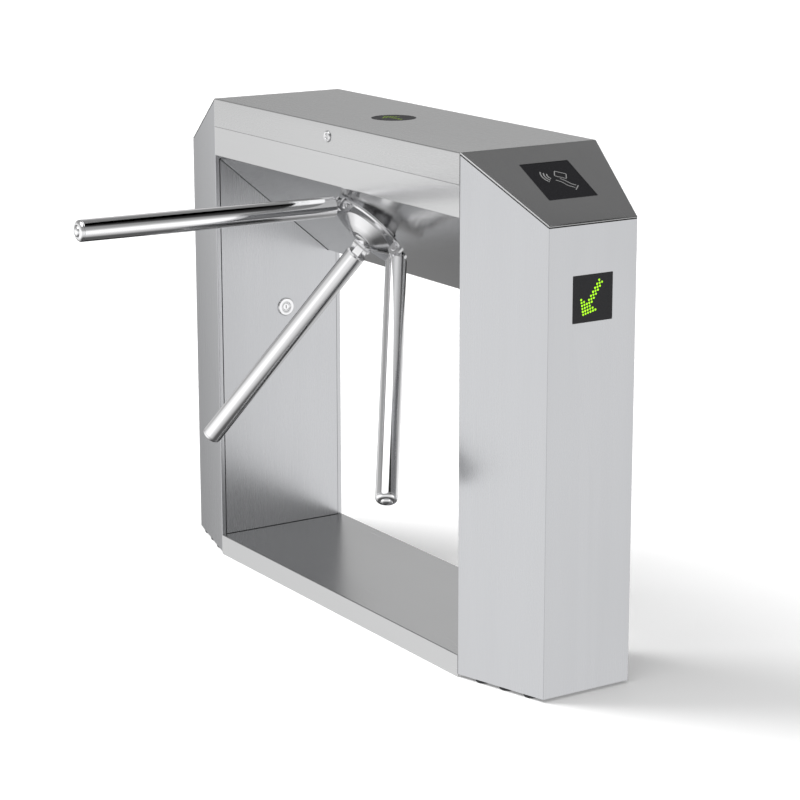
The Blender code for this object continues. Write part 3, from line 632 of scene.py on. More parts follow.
def leg_casing(side, way):
    """The leg's bent sheet, with a flange at each inner edge and the indicator's opening."""
    plan = [
        (HALF, -FLANGE_EDGE), (HALF, -SIDE), (END, -END_SIDE),
        (END, END_SIDE), (HALF, SIDE), (HALF, FLANGE_EDGE),
    ]
    rows = (lambda x, y: (x, y, LEG_LOW.z), lambda x, y: (x, y, slope_height(x) - SHELL_DROP))
    shell = folded(f"leg_casing_{side}", plan, BRUSHED_UP_PAINTED_SHADE, rows, mirrored(way), LEG_FOLD)
    room = Vector((0.02, ROOM, ROOM))
    low = Vector((END, *END_WINDOW[0].yz)) - room
    high = Vector((END, *END_WINDOW[1].yz)) + room
    opening = block("opening", low, high, BRUSHED_UP_PAINTED_SHADE, mirrored(way), 0.0)
    combine(shell, "DIFFERENCE", opening)
    softened(shell, EDGE)
    stands_for(shell, "root", "brushed_stainless", f"leg_shell_{side}")


def slope_frame(way):
    """Origin in the middle of the reader window: local X down the slope, local Z out of it."""
    low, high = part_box("reader_window_right")
    down = Vector((END - HALF, 0.0, END_HEIGHT - TOP)).normalized()
    out = Vector((TOP - END_HEIGHT, 0.0, END - HALF)).normalized()
    x = (low.x + high.x) / 2 + out.x * 0.0018
    return mirrored(way) @ axes((x, 0.0, slope_height(x)), down, out)


def slope_cover(side, way):
    """The flat sheet that closes a leg's sloping top, its outer edges rounded over."""
    work = bmesh.new()
    outline = [(HALF + ROOM, -SIDE), (END, -END_SIDE), (END, END_SIDE), (HALF + ROOM, SIDE)]
    face = work.faces.new([work.verts.new((x, y, slope_height(x) - SLOPE_THICKNESS)) for x, y in outline])
    raise_face(work, face, SLOPE_THICKNESS)
    rim = [
        edge for edge in work.edges
        if all(abs(v.co.z - slope_height(v.co.x)) < NEAR for v in edge.verts)
        and not all(v.co.x < HALF + 2 * ROOM for v in edge.verts)
    ]
    bmesh.ops.bevel(work, geom=rim, offset=0.0021, segments=5, profile=0.5, affect="EDGES")
    cover = finish_mesh(f"slope_cover_{side}", work, BRUSHED_SLOPE_PAINTED_SHADE, mirrored(way))
    outline = rectangle(READER_HALF, READER_HALF)
    opening = plate("opening", outline, -0.02, 0.02, BRUSHED_SLOPE_PAINTED_SHADE, slope_frame(way), 0.0)
    combine(cover, "DIFFERENCE", opening)
    softened(cover, 0.0003, 2, 50.0)
    stands_for(cover, "root", "brushed_stainless", f"slope_panel_{side}")


def bridge_casing():
    """The bridge's bent sheet: front strip, inclined panel, bottom and rear wall."""
    section = [
        (-SIDE, LID_LOW.z - SEAM_GAP), (-SIDE, PANEL_TOP), (PANEL_REAR, BRIDGE_LOW.z),
        (SIDE, BRIDGE_LOW.z), (SIDE, REAR_SEAM),
    ]
    rows = (lambda y, z: (-INNER, y, z), lambda y, z: (INNER, y, z))
    casing = folded("bridge_casing", section, BRUSHED_PANEL, rows)
    hole = drum("hole", SHAFT_HOLE, -0.12, 0.02, BRUSHED_PANEL, ROTOR)
    combine(casing, "DIFFERENCE", hole)
    softened(casing, EDGE)
    stands_for(casing, "root", "brushed_stainless", "bridge_housing")


def base_casing():
    """The base's bent cover, open underneath."""
    section = [(-SIDE, 0.0), (-SIDE, BASE_HIGH.z), (SIDE, BASE_HIGH.z), (SIDE, 0.0)]
    rows = (lambda y, z: (INNER, y, z), lambda y, z: (-INNER, y, z))
    casing = folded("base_casing", section, BRUSHED_BASE, rows)
    fixed_mesh(casing)
    softened(casing, EDGE)
    stands_for(casing, "root", "brushed_stainless", "base_cover")


def lid_casing():
    """The lid's bent sheet, with a round hole for the indicator and one for the lock."""
    section = [(-SIDE, LID_LOW.z), (-SIDE, TOP), (SIDE, TOP), (SIDE, REAR_SEAM + SEAM_GAP)]
    rows = (lambda y, z: (INNER, y, z), lambda y, z: (-INNER, y, z))
    casing = folded("lid_casing", section, BRUSHED_LONG, rows)
    radius = (TOP_WINDOW[1].x - TOP_WINDOW[0].x) / 2 + ROOM
    depth = 0.01
    hole = drum("hole", radius, -depth, depth, BRUSHED_LONG, at(0, 0, TOP))
    lock_hole = drum("hole", LOCK_HOLE, -depth, depth, BRUSHED_LONG, lock_frames()["lid_lock"])
    combine(casing, "DIFFERENCE", hole, lock_hole)
    softened(casing, EDGE)
    stands_for(casing, "lid", "brushed_stainless", "lid")


# ---------------------------------------------------------------- locks


def lock_frames():
    """Each lock's frame: local Z points out of the panel and local Y up, towards its keyway."""
    frames = {}
    for name in ("lid_lock", "door_lock_left", "door_lock_right"):
        joint = JOINTS[f"{name}_turn"]
        out = Vector(joint["axis"])
        if name.endswith("right"):
            out = -out
        up = Vector((0.0, 0.0, 1.0))
        frames[name] = axes(Vector(joint["pos_m"]), up.cross(out), out)
    return frames


def lock_radii(name, place):
    """Radius of a lock's flange and of the barrel behind it."""
    seat = [place.inverted() @ point for point in points(name)]
    seat = [sqrt(spot.x ** 2 + spot.y ** 2) for spot in seat if 0.0 < spot.z < 0.0006]
    return max(seat), min(seat)


def cam_lock(name, place):
    """Escutcheon ring, dished plug with a keyway, barrel, nut and the cam lever behind it."""
    ring, barrel = lock_radii(name, place)
    _, low, high = extent(name, place)
    plug = 0.6 * barrel
    profile = [
        (0.0, 0.5 * high), (0.8 * plug, 0.55 * high), (0.94 * plug, 0.76 * high), (plug, 0.35 * high),
        (1.12 * plug, 0.35 * high), (1.30 * plug, 0.85 * high), (barrel, high),
        (ring - 0.0020, high), (ring - 0.0004, 0.55 * high), (ring, 0.0003),
        (barrel, 0.0003), (barrel, LOCK_BACK), (0.0, LOCK_BACK),
    ]
    body = lathe(f"{name}_body", profile, CHROME, place, 64, 0.0004)
    width, length = KEY_SLOT
    keyway = block("keyway", (-width, -length, 0.0004), (width, length, 0.006), CHROME, place, 0.0)
    combine(body, "DIFFERENCE", keyway)
    # A thin near-black sheet at the bottom of the keyway, painted shade for the dark of the recess.
    dark = block(
        f"{name}_keyway", (-width, -length, 0.0004), (width, length, 0.0007), KEYWAY_PAINTED_SHADE, place, 0.0,
    )
    nut = plate(f"{name}_nut", polygon(1.32 * barrel, 6), -0.0085, -0.0045, ZINC, place)
    lever_outline = [(-0.006, 0.007), (-0.006, -0.027), (0.006, -0.027), (0.006, 0.007)]
    lever = plate(
        f"{name}_cam", rounded(lever_outline, 0.0045, 5, True), low + 0.0004, -0.0162, ZINC, place, 0.0003,
    )
    screw_profile = [(0.0, -0.0190), (0.0032, -0.0190), (0.0032, low + 0.0003), (0.0, low)]
    screw = lathe(f"{name}_screw", screw_profile, ZINC, place, 32)
    whole = merged(f"{name}_set", [body, dark, nut, lever, screw])
    stands_for(whole, name, "polished_stainless", name)


# ---------------------------------------------------------------- rotor


def arm(name, body):
    """A polished tube with a plugged root and a flat tongue, which the pivot pin goes through."""
    place = arm_frame(name)
    radius, _, far = extent(name, place)
    profile = [
        (0.0, ARM_SETBACK), (radius - 0.004, ARM_SETBACK), (radius, ARM_SETBACK + 0.0026), (radius, far),
        (radius - 0.002, far), (radius - 0.002, far - 0.004), (0.0, far - 0.004),
    ]
    tube = lathe(f"{name}_tube", profile, POLISHED, place, 96, 0.0010)
    half, reach = 0.008, 0.013
    outline = [(reach * sin(pi * k / 16), -reach * cos(pi * k / 16)) for k in range(-8, 9)]
    outline += [(reach, ARM_SETBACK + 0.010), (-reach, ARM_SETBACK + 0.010)]
    tongue = plate(f"{name}_tongue", outline, -half, half, POLISHED, place @ SIDEWAYS, 0.0)
    combine(tube, "UNION", tongue)
    bore = drum("bore", PIN_BORE, -BORE_REACH, BORE_REACH, POLISHED, place @ turn(pi / 2, "Y"), 32)
    combine(tube, "DIFFERENCE", bore)
    softened(tube, 0.0005, 2, 40.0)
    stands_for(tube, body, "polished_stainless", name)


def end_cap(name, body):
    """The tube's plug: a rounded shoulder, a groove and a domed button in the middle."""
    place = arm_frame(name)
    radius, _, high = extent(f"{name}_cap", place)
    _, _, seam = extent(name, place)
    button, groove, lip = 0.0108, 0.0120, 0.0006
    rim = high - 0.0052
    profile = dome(button, rim - 0.0012, high, 8)
    profile += [(button, rim - 0.0026), (groove, rim - 0.0026), (groove, rim)]
    drop, spread = rim - seam - lip, radius - groove - lip
    for step in range(8):
        angle = (pi / 2) * step / 7
        profile.append((groove + lip + spread * sin(angle), rim - drop * (1 - cos(angle))))
    wall, end = radius - 0.002, seam - 0.003
    profile += [(radius, seam + 0.0004), (wall, seam + 0.0002), (wall, end), (0.0, end)]
    cap = lathe(f"{name}_end", profile, POLISHED, place, 96)
    stands_for(cap, body, "polished_stainless", f"{name}_cap")


def pivot_bolt(name):
    """The bolt that an arm turns on: a domed head with a hexagonal socket, and a nut."""
    place = pin_frame(name) @ turn(pi / 2, "Y")
    radius, low, high = extent(f"{name}_pin", place)
    shank, head, edge = 0.004, 0.0032, 0.0008
    seat, nut = high - head, radius - 0.0003
    profile = dome(radius, seat + edge, high, 6)
    profile += [(radius, seat), (shank, seat), (shank, -seat), (nut, -seat), (nut, low + edge)]
    profile += [(radius - 0.0012, low), (0.0, low)]
    bolt = lathe(f"{name}_bolt", profile, CHROME, place, 48)
    recess = plate("recess", polygon(0.0026, 6), high - 0.0016, high + 0.002, CHROME, place, 0.0)
    combine(bolt, "DIFFERENCE", recess)
    stands_for(bolt, "rotor", "polished_stainless", f"{name}_pin")


def hub():
    """The dished disc with its raised middle, slots for the arms and a pair of ears at each."""
    rim, back, face = 0.090, -0.025, -0.0185
    socket, socket_end = 0.0153, -0.010
    profile = [
        (0.0, 0.0010), (0.024, 0.0010), (0.031, -0.0020), (0.036, -0.0045), (0.058, face),
        (rim - 0.0030, face), (rim, face - 0.0024), (rim, back),
        (socket, back), (socket, socket_end), (0.0, socket_end),
    ]
    disc = lathe("hub_casting", profile, HUB_STEEL, ROTOR, 128, 0.0010)
    outer, ear, gap = 0.0165, 0.012, 0.0085
    for name in ARM_TURNS:
        place = pin_frame(name)
        centre = place.inverted() @ ROTOR_CENTRE
        foot = back + 0.001 - (ROTOR.inverted() @ place.translation).z
        outline = [(ear, foot), (-ear, foot)]
        outline += [(-ear * cos(pi * k / 24), ear * sin(pi * k / 24)) for k in range(25)]
        ears = plate("ears", outline, -outer, outer, HUB_STEEL, place @ SIDEWAYS, 0.0)
        combine(disc, "UNION", ears)
        slot_start, slot_end = (-gap, centre.y + 0.064, -BORE_REACH), (gap, 0.04, BORE_REACH)
        slot = block("slot", slot_start, slot_end, HUB_STEEL, place, 0.0)
        bore = drum("bore", PIN_BORE, -BORE_REACH, BORE_REACH, HUB_STEEL, place @ turn(pi / 2, "Y"), 32)
        combine(disc, "DIFFERENCE", slot, bore)
    softened(disc, 0.0006, 3, 40.0)
    stands_for(disc, "rotor", "polished_stainless", "hub")


def hub_button():
    """The domed cap in the middle of the hub."""
    radius, low, high = extent("hub_cap", ROTOR)
    profile = dome(radius, low + 0.0004, high, 8) + [(radius - 0.0006, low), (0.0, low)]
    cap = lathe("hub_button", profile, CHROME, ROTOR, 64)
    stands_for(cap, "rotor", "polished_stainless", "hub_cap")


# ---------------------------------------------------------------- indicators and reader


def arrow_dots(tip, direction, length, head, pitch=0.004, half=0.00375):
    """Lit dots of an arrow on a lattice, as (x, y) from its tip backwards along the direction."""
    back = -Vector(direction).normalized()
    across = Vector((-back.y, back.x))
    dots = []
    for row in range(int(length / pitch) + 1):
        depth = row * pitch
        reach = depth if depth <= head else half
        count = int(reach / half + 0.01)
        for column in range(-count, count + 1):
            if (column + row) % 2 == 0:
                dots.append(Vector(tip) + back * depth + across * column * half)
    return dots


def dot_field(name, spots, radius, height, look, place):
    """Small domed lenses, one at each spot of a window's plane."""
    work = bmesh.new()
    sides, rings = 10, 3
    for spot in spots:
        crown = work.verts.new((spot.x, spot.y, height))
        previous = None
        for ring in range(1, rings + 1):
            angle = (pi / 2) * ring / rings
            circle = []
            for step in range(sides):
                way = 2 * pi * step / sides
                circle.append(work.verts.new((
                    spot.x + radius * sin(angle) * cos(way),
                    spot.y + radius * sin(angle) * sin(way),
                    height * cos(angle),
                )))
            for step in range(sides):
                following = (step + 1) % sides
                if previous:
                    work.faces.new((previous[step], circle[step], circle[following], previous[following]))
                else:
                    work.faces.new((crown, circle[step], circle[following]))
            previous = circle
        work.faces.new(previous)
    return finish_mesh(name, work, look, place)


def frame_strip(name, outline, width, low, high, look, place):
    """A thin closed band round an outline, growing outwards by its width."""
    count = len(outline)
    line = [Vector(point) for point in outline]
    outer = []
    for index, corner in enumerate(line):
        before = (corner - line[index - 1]).normalized()
        after = (line[(index + 1) % count] - corner).normalized()
        normal = Vector((before.y, -before.x)) + Vector((after.y, -after.x))
        outer.append(corner + normal.normalized() * width / max(0.3, normal.length / 2))
    work = bmesh.new()
    rings = ((line, low), (line, high), (outer, high), (outer, low))
    rows = [[work.verts.new((x, y, z)) for x, y in ring] for ring, z in rings]
    for first, second in zip(rows, rows[1:] + rows[:1]):
        for index in range(count):
            following = (index + 1) % count
            work.faces.new((first[index], first[following], second[following], second[index]))
    return finish_mesh(name, work, look, place)


def end_frame(way):
    """The end window's plane: local X to the right seen from outside, local Y up, Z outwards."""
    low, high = END_WINDOW
    middle = (low + high) / 2
    return mirrored(way) @ axes((high.x, 0.0, middle.z), (0.0, 1.0, 0.0), (1.0, 0.0, 0.0))


def end_indicator(side, way):
    """The lit arrow in a leg's end window, and the window's steel edging."""
    place = end_frame(way)
    low, high = END_WINDOW
    half_x, half_y = (high.y - low.y) / 2, (high.z - low.z) / 2
    lit = arrow_dots((-0.0200, -0.0285), (-0.545, -0.839), 0.070, 0.0200)
    arrow = dot_field(f"arrow_{side}", lit, LENS_RADIUS, 0.0002, LED_LIT, place @ at(0, 0, 0.00005))
    rides(arrow, "root")
    outline = rounded(rectangle(half_x, half_y), 0.002, 4, True)
    # The edging takes the slope's darker copy of the steel, with its painted shade.
    bezel = frame_strip(f"indicator_bezel_{side}", outline, 0.0016, -0.002, 0.0002, BRUSHED_SLOPE_PAINTED_SHADE, place)
    rides(bezel, "root")


def top_indicator():
    """The dim arrow in the lid's round window, and the window's dark edging."""
    low, high = TOP_WINDOW
    radius = (high.x - low.x) / 2
    place = at(0.0, 0.0, high.z)
    lit = arrow_dots((-0.030, 0.0), (-1.0, 0.0), 0.058, 0.020)
    rides(dot_field("arrow_top", lit, LENS_RADIUS, 0.00022, LED_DEEP, place), "lid")
    bezel = frame_strip("top_bezel", polygon(radius, 96), 0.0007, -0.002, 0.0001, CASING, place)
    rides(bezel, "lid")


def ribbon(name, path, width, place, closed=False):
    """A flat printed stroke along a line of points."""
    line = [Vector(point) for point in path]
    count = len(line)
    work = bmesh.new()
    rows = []
    for index, spot in enumerate(line):
        before = line[index - 1] if index or closed else spot
        after = line[(index + 1) % count] if index < count - 1 or closed else spot
        way = (after - before).normalized()
        normal = Vector((-way.y, way.x)) * width / 2
        rows.append([spot + normal, spot - normal])
    levels = (0.00002, 0.00014)
    verts = [[work.verts.new((p.x, p.y, z)) for p in row for z in levels] for row in rows]
    spans = list(zip(verts, verts[1:] + verts[:1])) if closed else list(zip(verts, verts[1:]))
    for first, second in spans:
        for a, b in ((0, 1), (1, 3), (3, 2), (2, 0)):
            work.faces.new((first[a], first[b], second[b], second[a]))
    if not closed:
        for row in (verts[0], verts[-1]):
            work.faces.new((row[0], row[1], row[3], row[2]))
    return finish_mesh(name, work, PRINT, place)


def arc(centre, radius, start, stop, steps=16):
    return [
        (centre[0] + radius * cos(radians(start + (stop - start) * k / steps)),
         centre[1] + radius * sin(radians(start + (stop - start) * k / steps)))
        for k in range(steps + 1)
    ]


def reader_symbol(side, way):
    """A card held in a hand in front of three waves, drawn in grey strokes."""
    place = slope_frame(way) @ turn(pi / 2, "Z") @ at(0, 0, -0.0003)
    strokes = []
    for index, radius in enumerate((0.023, 0.017, 0.011)):
        strokes.append(ribbon(f"wave_{index}", arc((-0.004, 0.014), radius, 145, 225), 0.0024, place))
    card = rounded(rectangle(0.011, 0.0075), 0.002, 4, closed=True)
    tilt = Matrix.Rotation(radians(-30.0), 2)
    card = [tilt @ point + Vector((0.013, 0.014)) for point in card]
    strokes.append(ribbon("card", card, 0.0020, place, True))
    palm = rounded([(-0.005, 0.001), (0.004, -0.006), (0.010, -0.017), (0.021, -0.025)], 0.006, 5)
    thumb = rounded([(0.006, 0.004), (0.013, -0.003), (0.019, -0.013), (0.027, -0.019)], 0.006, 5)
    cuff = [(0.019, -0.031), (0.031, -0.020)]
    for name, path in (("palm", palm), ("thumb", thumb), ("cuff", cuff)):
        strokes.append(ribbon(name, path, 0.0022, place))
    symbol = merged(f"reader_symbol_{side}", strokes)
    rides(symbol, "root")
    outline = rounded(rectangle(READER_HALF, READER_HALF), 0.0015, 4, True)
    bezel = frame_strip(f"reader_bezel_{side}", outline, 0.0010, -0.0015, 0.00005, CASING, slope_frame(way))
    rides(bezel, "root")


# ---------------------------------------------------------------- inner pieces


def corners(node, place):
    """Lowest and highest corner of a node, measured in a frame."""
    local = [place.inverted() @ point for point in points(node)]
    low = Vector([min(spot[axis] for spot in local) for axis in range(3)])
    high = Vector([max(spot[axis] for spot in local) for axis in range(3)])
    return low, high


def made_of(node, body, slot, pieces):
    """Joins these pieces into the one that stands for a CAD node."""
    stands_for(merged(f"{node}_set", pieces), body, slot, node)


def chips(parts, level, place, look):
    """Small blocks on a board: middle x and y, half width and height, and thickness."""
    return [
        block("chip", (x - w, y - h, level), (x + w, y + h, level + t), look, place, 0.0003)
        for x, y, w, h, t in parts
    ]


def studs(spots, radius, low, high, look, place):
    """Screws or stand-offs: short turned pieces with a rounded head."""
    return [drum("stud", radius, low, high, look, place @ at(x, y, 0.0), 20, 0.0003) for x, y in spots]


def wall_frame(node):
    """A frame on the rear wall behind a node: half its width, half its height and its depth."""
    low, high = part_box(node)
    middle = (low + high) / 2
    place = axes((middle.x, high.y, middle.z), (1.0, 0.0, 0.0), (0.0, -1.0, 0.0))
    return place, (high.x - low.x) / 2, (high.z - low.z) / 2, high.y - low.y


def control_board():
    """A board on stand-offs with chips, relays, terminals, connectors and capacitors."""
    place, wide, tall, deep = wall_frame("control_board")
    face = 0.0046
    deep -= face
    holes = [(i * (wide - 0.006), j * (tall - 0.006)) for i in (-1, 1) for j in (-1, 1)]
    pieces = studs(holes, 0.003, 0.0, 0.0064, ZINC, place)
    pieces.append(block("board", (-wide, -tall, 0.003), (wide, tall, face), BOARD, place, 0.0, 0.003))
    dark = [(0.010, 0.006, 0.013, 0.013, 0.0018), (-0.040, 0.020, 0.008, 0.005, 0.0016)]
    dark += [(0.045, -0.020, 0.006, 0.010, 0.0020), (-0.035, -0.010, 0.005, 0.004, 0.0014)]
    pieces += chips(dark, face, place, CASING)
    relays = [(x, 0.045, 0.0095, 0.0080, deep) for x in (-0.055, -0.030, 0.030, 0.055)]
    pieces += chips(relays, face, place, BLUE_PLASTIC)
    terminals = [(x, -0.058, 0.014, 0.006, deep * 0.95) for x in (-0.060, -0.028, 0.028, 0.060)]
    pieces += chips(terminals, face, place, GREEN_PLASTIC)
    plugs = [(-0.085, 0.010, 0.004, 0.018, 0.005), (0.085, 0.0, 0.004, 0.012, 0.005)]
    pieces += chips(plugs, face, place, WHITE_PLASTIC)
    cans = [(0.060, 0.014), (0.070, 0.014), (-0.062, 0.014)]
    pieces += studs(cans, 0.0042, face, face + deep, CASING, place)
    made_of("control_board", "root", "circuit_board", pieces)


def power_supply():
    """A case with rows of vents, beside a shelf of screw terminals and a trimmer."""
    place, wide, tall, deep = wall_frame("power_supply")
    case = block("case", (-wide + 0.018, -tall, 0.0), (wide, tall, deep), CASING, place, 0.0008)
    vents = [
        block("vent", (x, y - 0.012, deep - 0.0012), (x + 0.003, y + 0.012, deep + 0.01), CASING, place, 0.0)
        for x in [-0.045 + 0.008 * step for step in range(13)] for y in (-0.017, 0.017)
    ]
    cutter = merged("vents", vents)
    combine(case, "DIFFERENCE", cutter)
    softened(case, 0.0004)
    shelf = block("shelf", (-wide, -tall + 0.002, 0.0), (-wide + 0.020, tall - 0.002, 0.016), CASING, place)
    pieces = [case, shelf]
    rows = [-0.027 + 0.009 * step for step in range(7)]
    for y in rows:
        low, high = (-wide + 0.002, y - 0.0052, 0.014), (-wide + 0.016, y - 0.0040, 0.024)
        pieces.append(block("wall", low, high, CASING, place, 0.0002))
    pieces += studs([(-wide + 0.009, y) for y in rows], 0.0028, 0.015, 0.0185, ZINC, place)
    low, high = (-wide + 0.004, tall - 0.009, 0.016), (-wide + 0.012, tall - 0.004, 0.020)
    pieces.append(block("trimmer", low, high, BLUE_PLASTIC, place, 0.0003))
    made_of("power_supply", "root", "black_casing", pieces)


def solenoid(side, way):
    """A steel yoke round a wound coil, open in the middle for the plunger."""
    low, high = corners(f"solenoid_{side}", ROTOR)
    middle = (low + high) / 2
    reach = (high.x - low.x) / 2
    place = ROTOR @ Matrix.Translation(middle) @ turn(way * pi / 2, "Y")
    half, tall = (high.z - low.z) / 2, (high.y - low.y) / 2
    wall, room = 0.0016, 0.0044
    yoke = block("yoke", (-half, -tall, -reach), (half, tall, reach), ZINC, place, 0.0)
    inside, past = reach - wall, 0.01
    start, stop = (-half + wall, -tall - past, -inside), (half + past, tall + past, inside)
    window = block("window", start, stop, ZINC, place, 0.0)
    bore = drum("bore", room, -reach - past, inside, ZINC, place, 32)
    combine(yoke, "DIFFERENCE", window, bore)
    softened(yoke, 0.0003)
    flange, wire = tall - 0.0004, tall - 0.0022
    spool, coil = room + 0.001, inside - wall
    bobbin = [
        (room, -inside), (flange, -inside), (flange, -coil), (spool, -coil),
        (spool, coil), (flange, coil), (flange, inside), (room, inside),
    ]
    turns, dip = 22, wire - 0.0003
    step = 2 * coil / turns
    winding = [(room + 0.0012, coil), (room + 0.0012, -coil)]
    for index in range(turns):
        start = -coil + index * step
        winding += [(dip, start + 0.1 * step), (wire, start + 0.5 * step), (dip, start + 0.9 * step)]
    pieces = [yoke, lathe("bobbin", bobbin, CASING, place, 48), lathe("winding", winding, COPPER, place, 48)]
    made_of(f"solenoid_{side}", "root", "black_casing", pieces)


def reader_module(side, way):
    """The tray behind a reader window, ribbed at the back, with its screws and its plug."""
    place = slope_frame(way)
    low, high = corners(f"reader_module_{side}", place)
    seat = low.z + 0.0045
    sunk = seat + 0.0002
    tray = block("tray", (low.x, low.y, seat), (high.x, high.y, high.z), CASING, place, 0.0006, 0.004)
    pieces = [tray]
    for step in range(5):
        x = low.x + 0.014 + step * 0.0145
        start, stop = (x - 0.0008, low.y + 0.010, seat - 0.0022), (x + 0.0008, high.y - 0.010, sunk)
        pieces.append(block("rib", start, stop, CASING, place, 0.0002))
    spots = [(i * (high.x - 0.007), j * (high.y - 0.005)) for i in (-1, 1) for j in (-1, 1)]
    pieces += studs(spots, 0.0026, seat - 0.0016, sunk, ZINC, place)
    start, stop = (-0.012, low.y + 0.0012, low.z), (0.012, low.y + 0.0085, sunk)
    pieces.append(block("plug", start, stop, WHITE_PLASTIC, place, 0.0003))
    made_of(f"reader_module_{side}", "root", "black_casing", pieces)


def light_board(node, body, place, round_board=False):
    """A board with the dark block that holds the lamps, its plug, resistors and screws."""
    low, high = corners(node, place)
    middle = ((low.x + high.x) / 2, (low.y + high.y) / 2)
    place = place @ at(*middle, 0.0)
    half = ((high.x - low.x) / 2, (high.y - low.y) / 2)
    back, face = low.z + 0.0030, low.z + 0.0046
    if round_board:
        board = drum("board", half[0], back, face, BOARD, place, 64)
        size = half[0] * 0.62
    else:
        board = block("board", (-half[0], -half[1], back), (*half, face), BOARD, place, 0.0, 0.002)
        size = half[0] * 0.86
    holder = block("holder", (-size, -size, face), (size, size, high.z), CASING, place, 0.0004, 0.001)
    pieces = [board, holder]
    pieces.append(block("plug", (-0.010, -0.006, low.z), (0.010, 0.001, back), WHITE_PLASTIC, place, 0.0003))
    rows = [(0.006 * step, 0.014, 0.0016, 0.0030, 0.0012) for step in range(-3, 4)]
    pieces += chips(rows, back - 0.0012, place, CASING)
    reach = half[0] * (0.66 if round_board else 0.93)
    spots = [(i * reach, j * reach) for i in (-1, 1) for j in (-1, 1)]
    pieces += studs(spots, 0.0018, back - 0.0010, face + 0.0010, ZINC, place)
    made_of(node, body, "circuit_board", pieces)


def position_sensor():
    """A small board with two light gates, each with a pair of posts."""
    low, high = corners("position_sensor", ROTOR)
    middle = (low.y + high.y) / 2
    face = low.z + 0.0016
    pieces = [block("board", low, (high.x, high.y, face), BOARD, ROTOR, 0.0)]
    for x in (-0.0095, 0.0095):
        start, stop = (x - 0.0055, low.y + 0.0004, face), (x + 0.0055, high.y - 0.0004, low.z + 0.0060)
        pieces.append(block("eye", start, stop, CASING, ROTOR, 0.0004))
        for post in (x - 0.0040, x + 0.0040):
            start = (post - 0.0014, middle - 0.0030, low.z + 0.0050)
            stop = (post + 0.0014, middle + 0.0030, high.z)
            pieces.append(block("post", start, stop, CASING, ROTOR, 0.0003))
    made_of("position_sensor", "root", "circuit_board", pieces)


def damper():
    """The shaft's damper: a turned ring with four cooling grooves."""
    inner, outer = 0.0125, 0.034
    groove, face = outer - 0.0014, outer - 0.001
    _, low, high = extent("shaft_damper", ROTOR)
    profile = [(inner, high), (outer - 0.008, high), (outer - 0.007, high - 0.0012), (face, high - 0.0012)]
    for step in range(4):
        start = high - 0.0035 - 0.005 * step
        profile += [(outer, start), (outer, start - 0.0025)]
        profile += [(groove, start - 0.0030), (groove, start - 0.0045)]
    profile += [(outer, low + 0.0010), (face, low), (inner, low)]
    stands_for(lathe("damper_body", profile, CASING, ROTOR, 64), "root", "black_casing", "shaft_damper")


def bearing(name):
    """A ball bearing: two rings with a sunk shield between them on each side."""
    _, low, high = extent(name, ROTOR)
    bore, outer = 0.0153, 0.028
    inner_lip, outer_lip, sunk = bore + 0.0022, outer - 0.0022, 0.0008
    profile = [
        (bore, high), (inner_lip, high), (inner_lip, high - sunk), (outer_lip, high - sunk),
        (outer_lip, high), (outer, high), (outer, low), (outer_lip, low), (outer_lip, low + sunk),
        (inner_lip, low + sunk), (inner_lip, low), (bore, low),
    ]
    rings = lathe(f"{name}_rings", profile, MACHINED, ROTOR, 64, 0.0003)
    stands_for(rings, "root", "bearing_steel", name)


def hinge_rod(side):
    """A door's rod, with a groove for its clip and a rounded end."""
    low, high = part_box(f"door_hinge_rod_{side}")
    radius = (high.x - low.x) / 2
    place = at((low.x + high.x) / 2, (low.y + high.y) / 2, 0.0)
    groove = radius * 0.75
    profile = [
        (0.0, high.z), (radius * 0.6, high.z - 0.0003), (radius, high.z - 0.0014), (radius, high.z - 0.0060),
        (groove, high.z - 0.0062), (groove, high.z - 0.0074), (radius, high.z - 0.0076),
        (radius, low.z + 0.0010), (radius * 0.7, low.z), (0.0, low.z),
    ]
    rod = lathe(f"hinge_rod_{side}", profile, MACHINED, place, 32)
    stands_for(rod, "root", "plated_steel", f"door_hinge_rod_{side}")


def keeper_strip(side, way):
    """The strip that a door's cam closes behind, with two round screw holes near each end."""
    low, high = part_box(f"door_keeper_{side}")
    place = axes(((low.x + high.x) / 2, 0.0, (low.z + high.z) / 2), (0.0, 1.0, 0.0), (-way, 0.0, 0.0))
    half, tall, deep = (high.y - low.y) / 2, (high.z - low.z) / 2, (high.x - low.x) / 2
    outline = rounded(rectangle(half, tall), 0.003, 5, True)
    strip = plate("strip", outline, -deep, deep, ZINC, place, 0.0)
    spots = (-0.100, -0.060, 0.060, 0.100)
    holes = [drum("hole", 0.0025, -0.01, 0.01, ZINC, place @ at(x, 0.0, 0.0), 24) for x in spots]
    combine(strip, "DIFFERENCE", merged("holes", holes))
    softened(strip, 0.0003)
    made_of(f"door_keeper_{side}", "root", "plated_steel", [strip])


# ---------------------------------------------------------------- feet


def levelling_feet(side, way):
    """Dark rubber pads round the six levelling studs of a leg."""
    feet = []
    for index, along in enumerate((0.045, 0.100, 0.155)):
        for edge in (-1, 1):
            x = HALF + along
            place = mirrored(way) @ at(x, edge * (side_at(x) - 0.016), 0.0)
            profile = [
                (0.0, 0.0), (0.0135, 0.0), (0.0150, 0.0016), (0.0150, 0.0040), (0.0125, 0.0056),
                (0.0125, 0.0078), (0.0, 0.0078),
            ]
            feet.append(lathe(f"foot_{side}_{index}_{edge}", profile, RUBBER, place, 40, 0.0005))
    rides(merged(f"levelling_feet_{side}", feet), "root")


# ---------------------------------------------------------------- finishes of the kept CAD nodes


def kept(node, look, bevel=EDGE):
    """Gives a CAD node its material, and rounds its edges without touching its mesh."""
    thing = frame["nodes"][node]
    thing.data.materials.clear()
    thing.data.materials.append(look)
    if bevel:
        weld = thing.modifiers.new("weld", "WELD")
        weld.merge_threshold = 0.00001
        softened(thing, bevel, 2, 25.0)


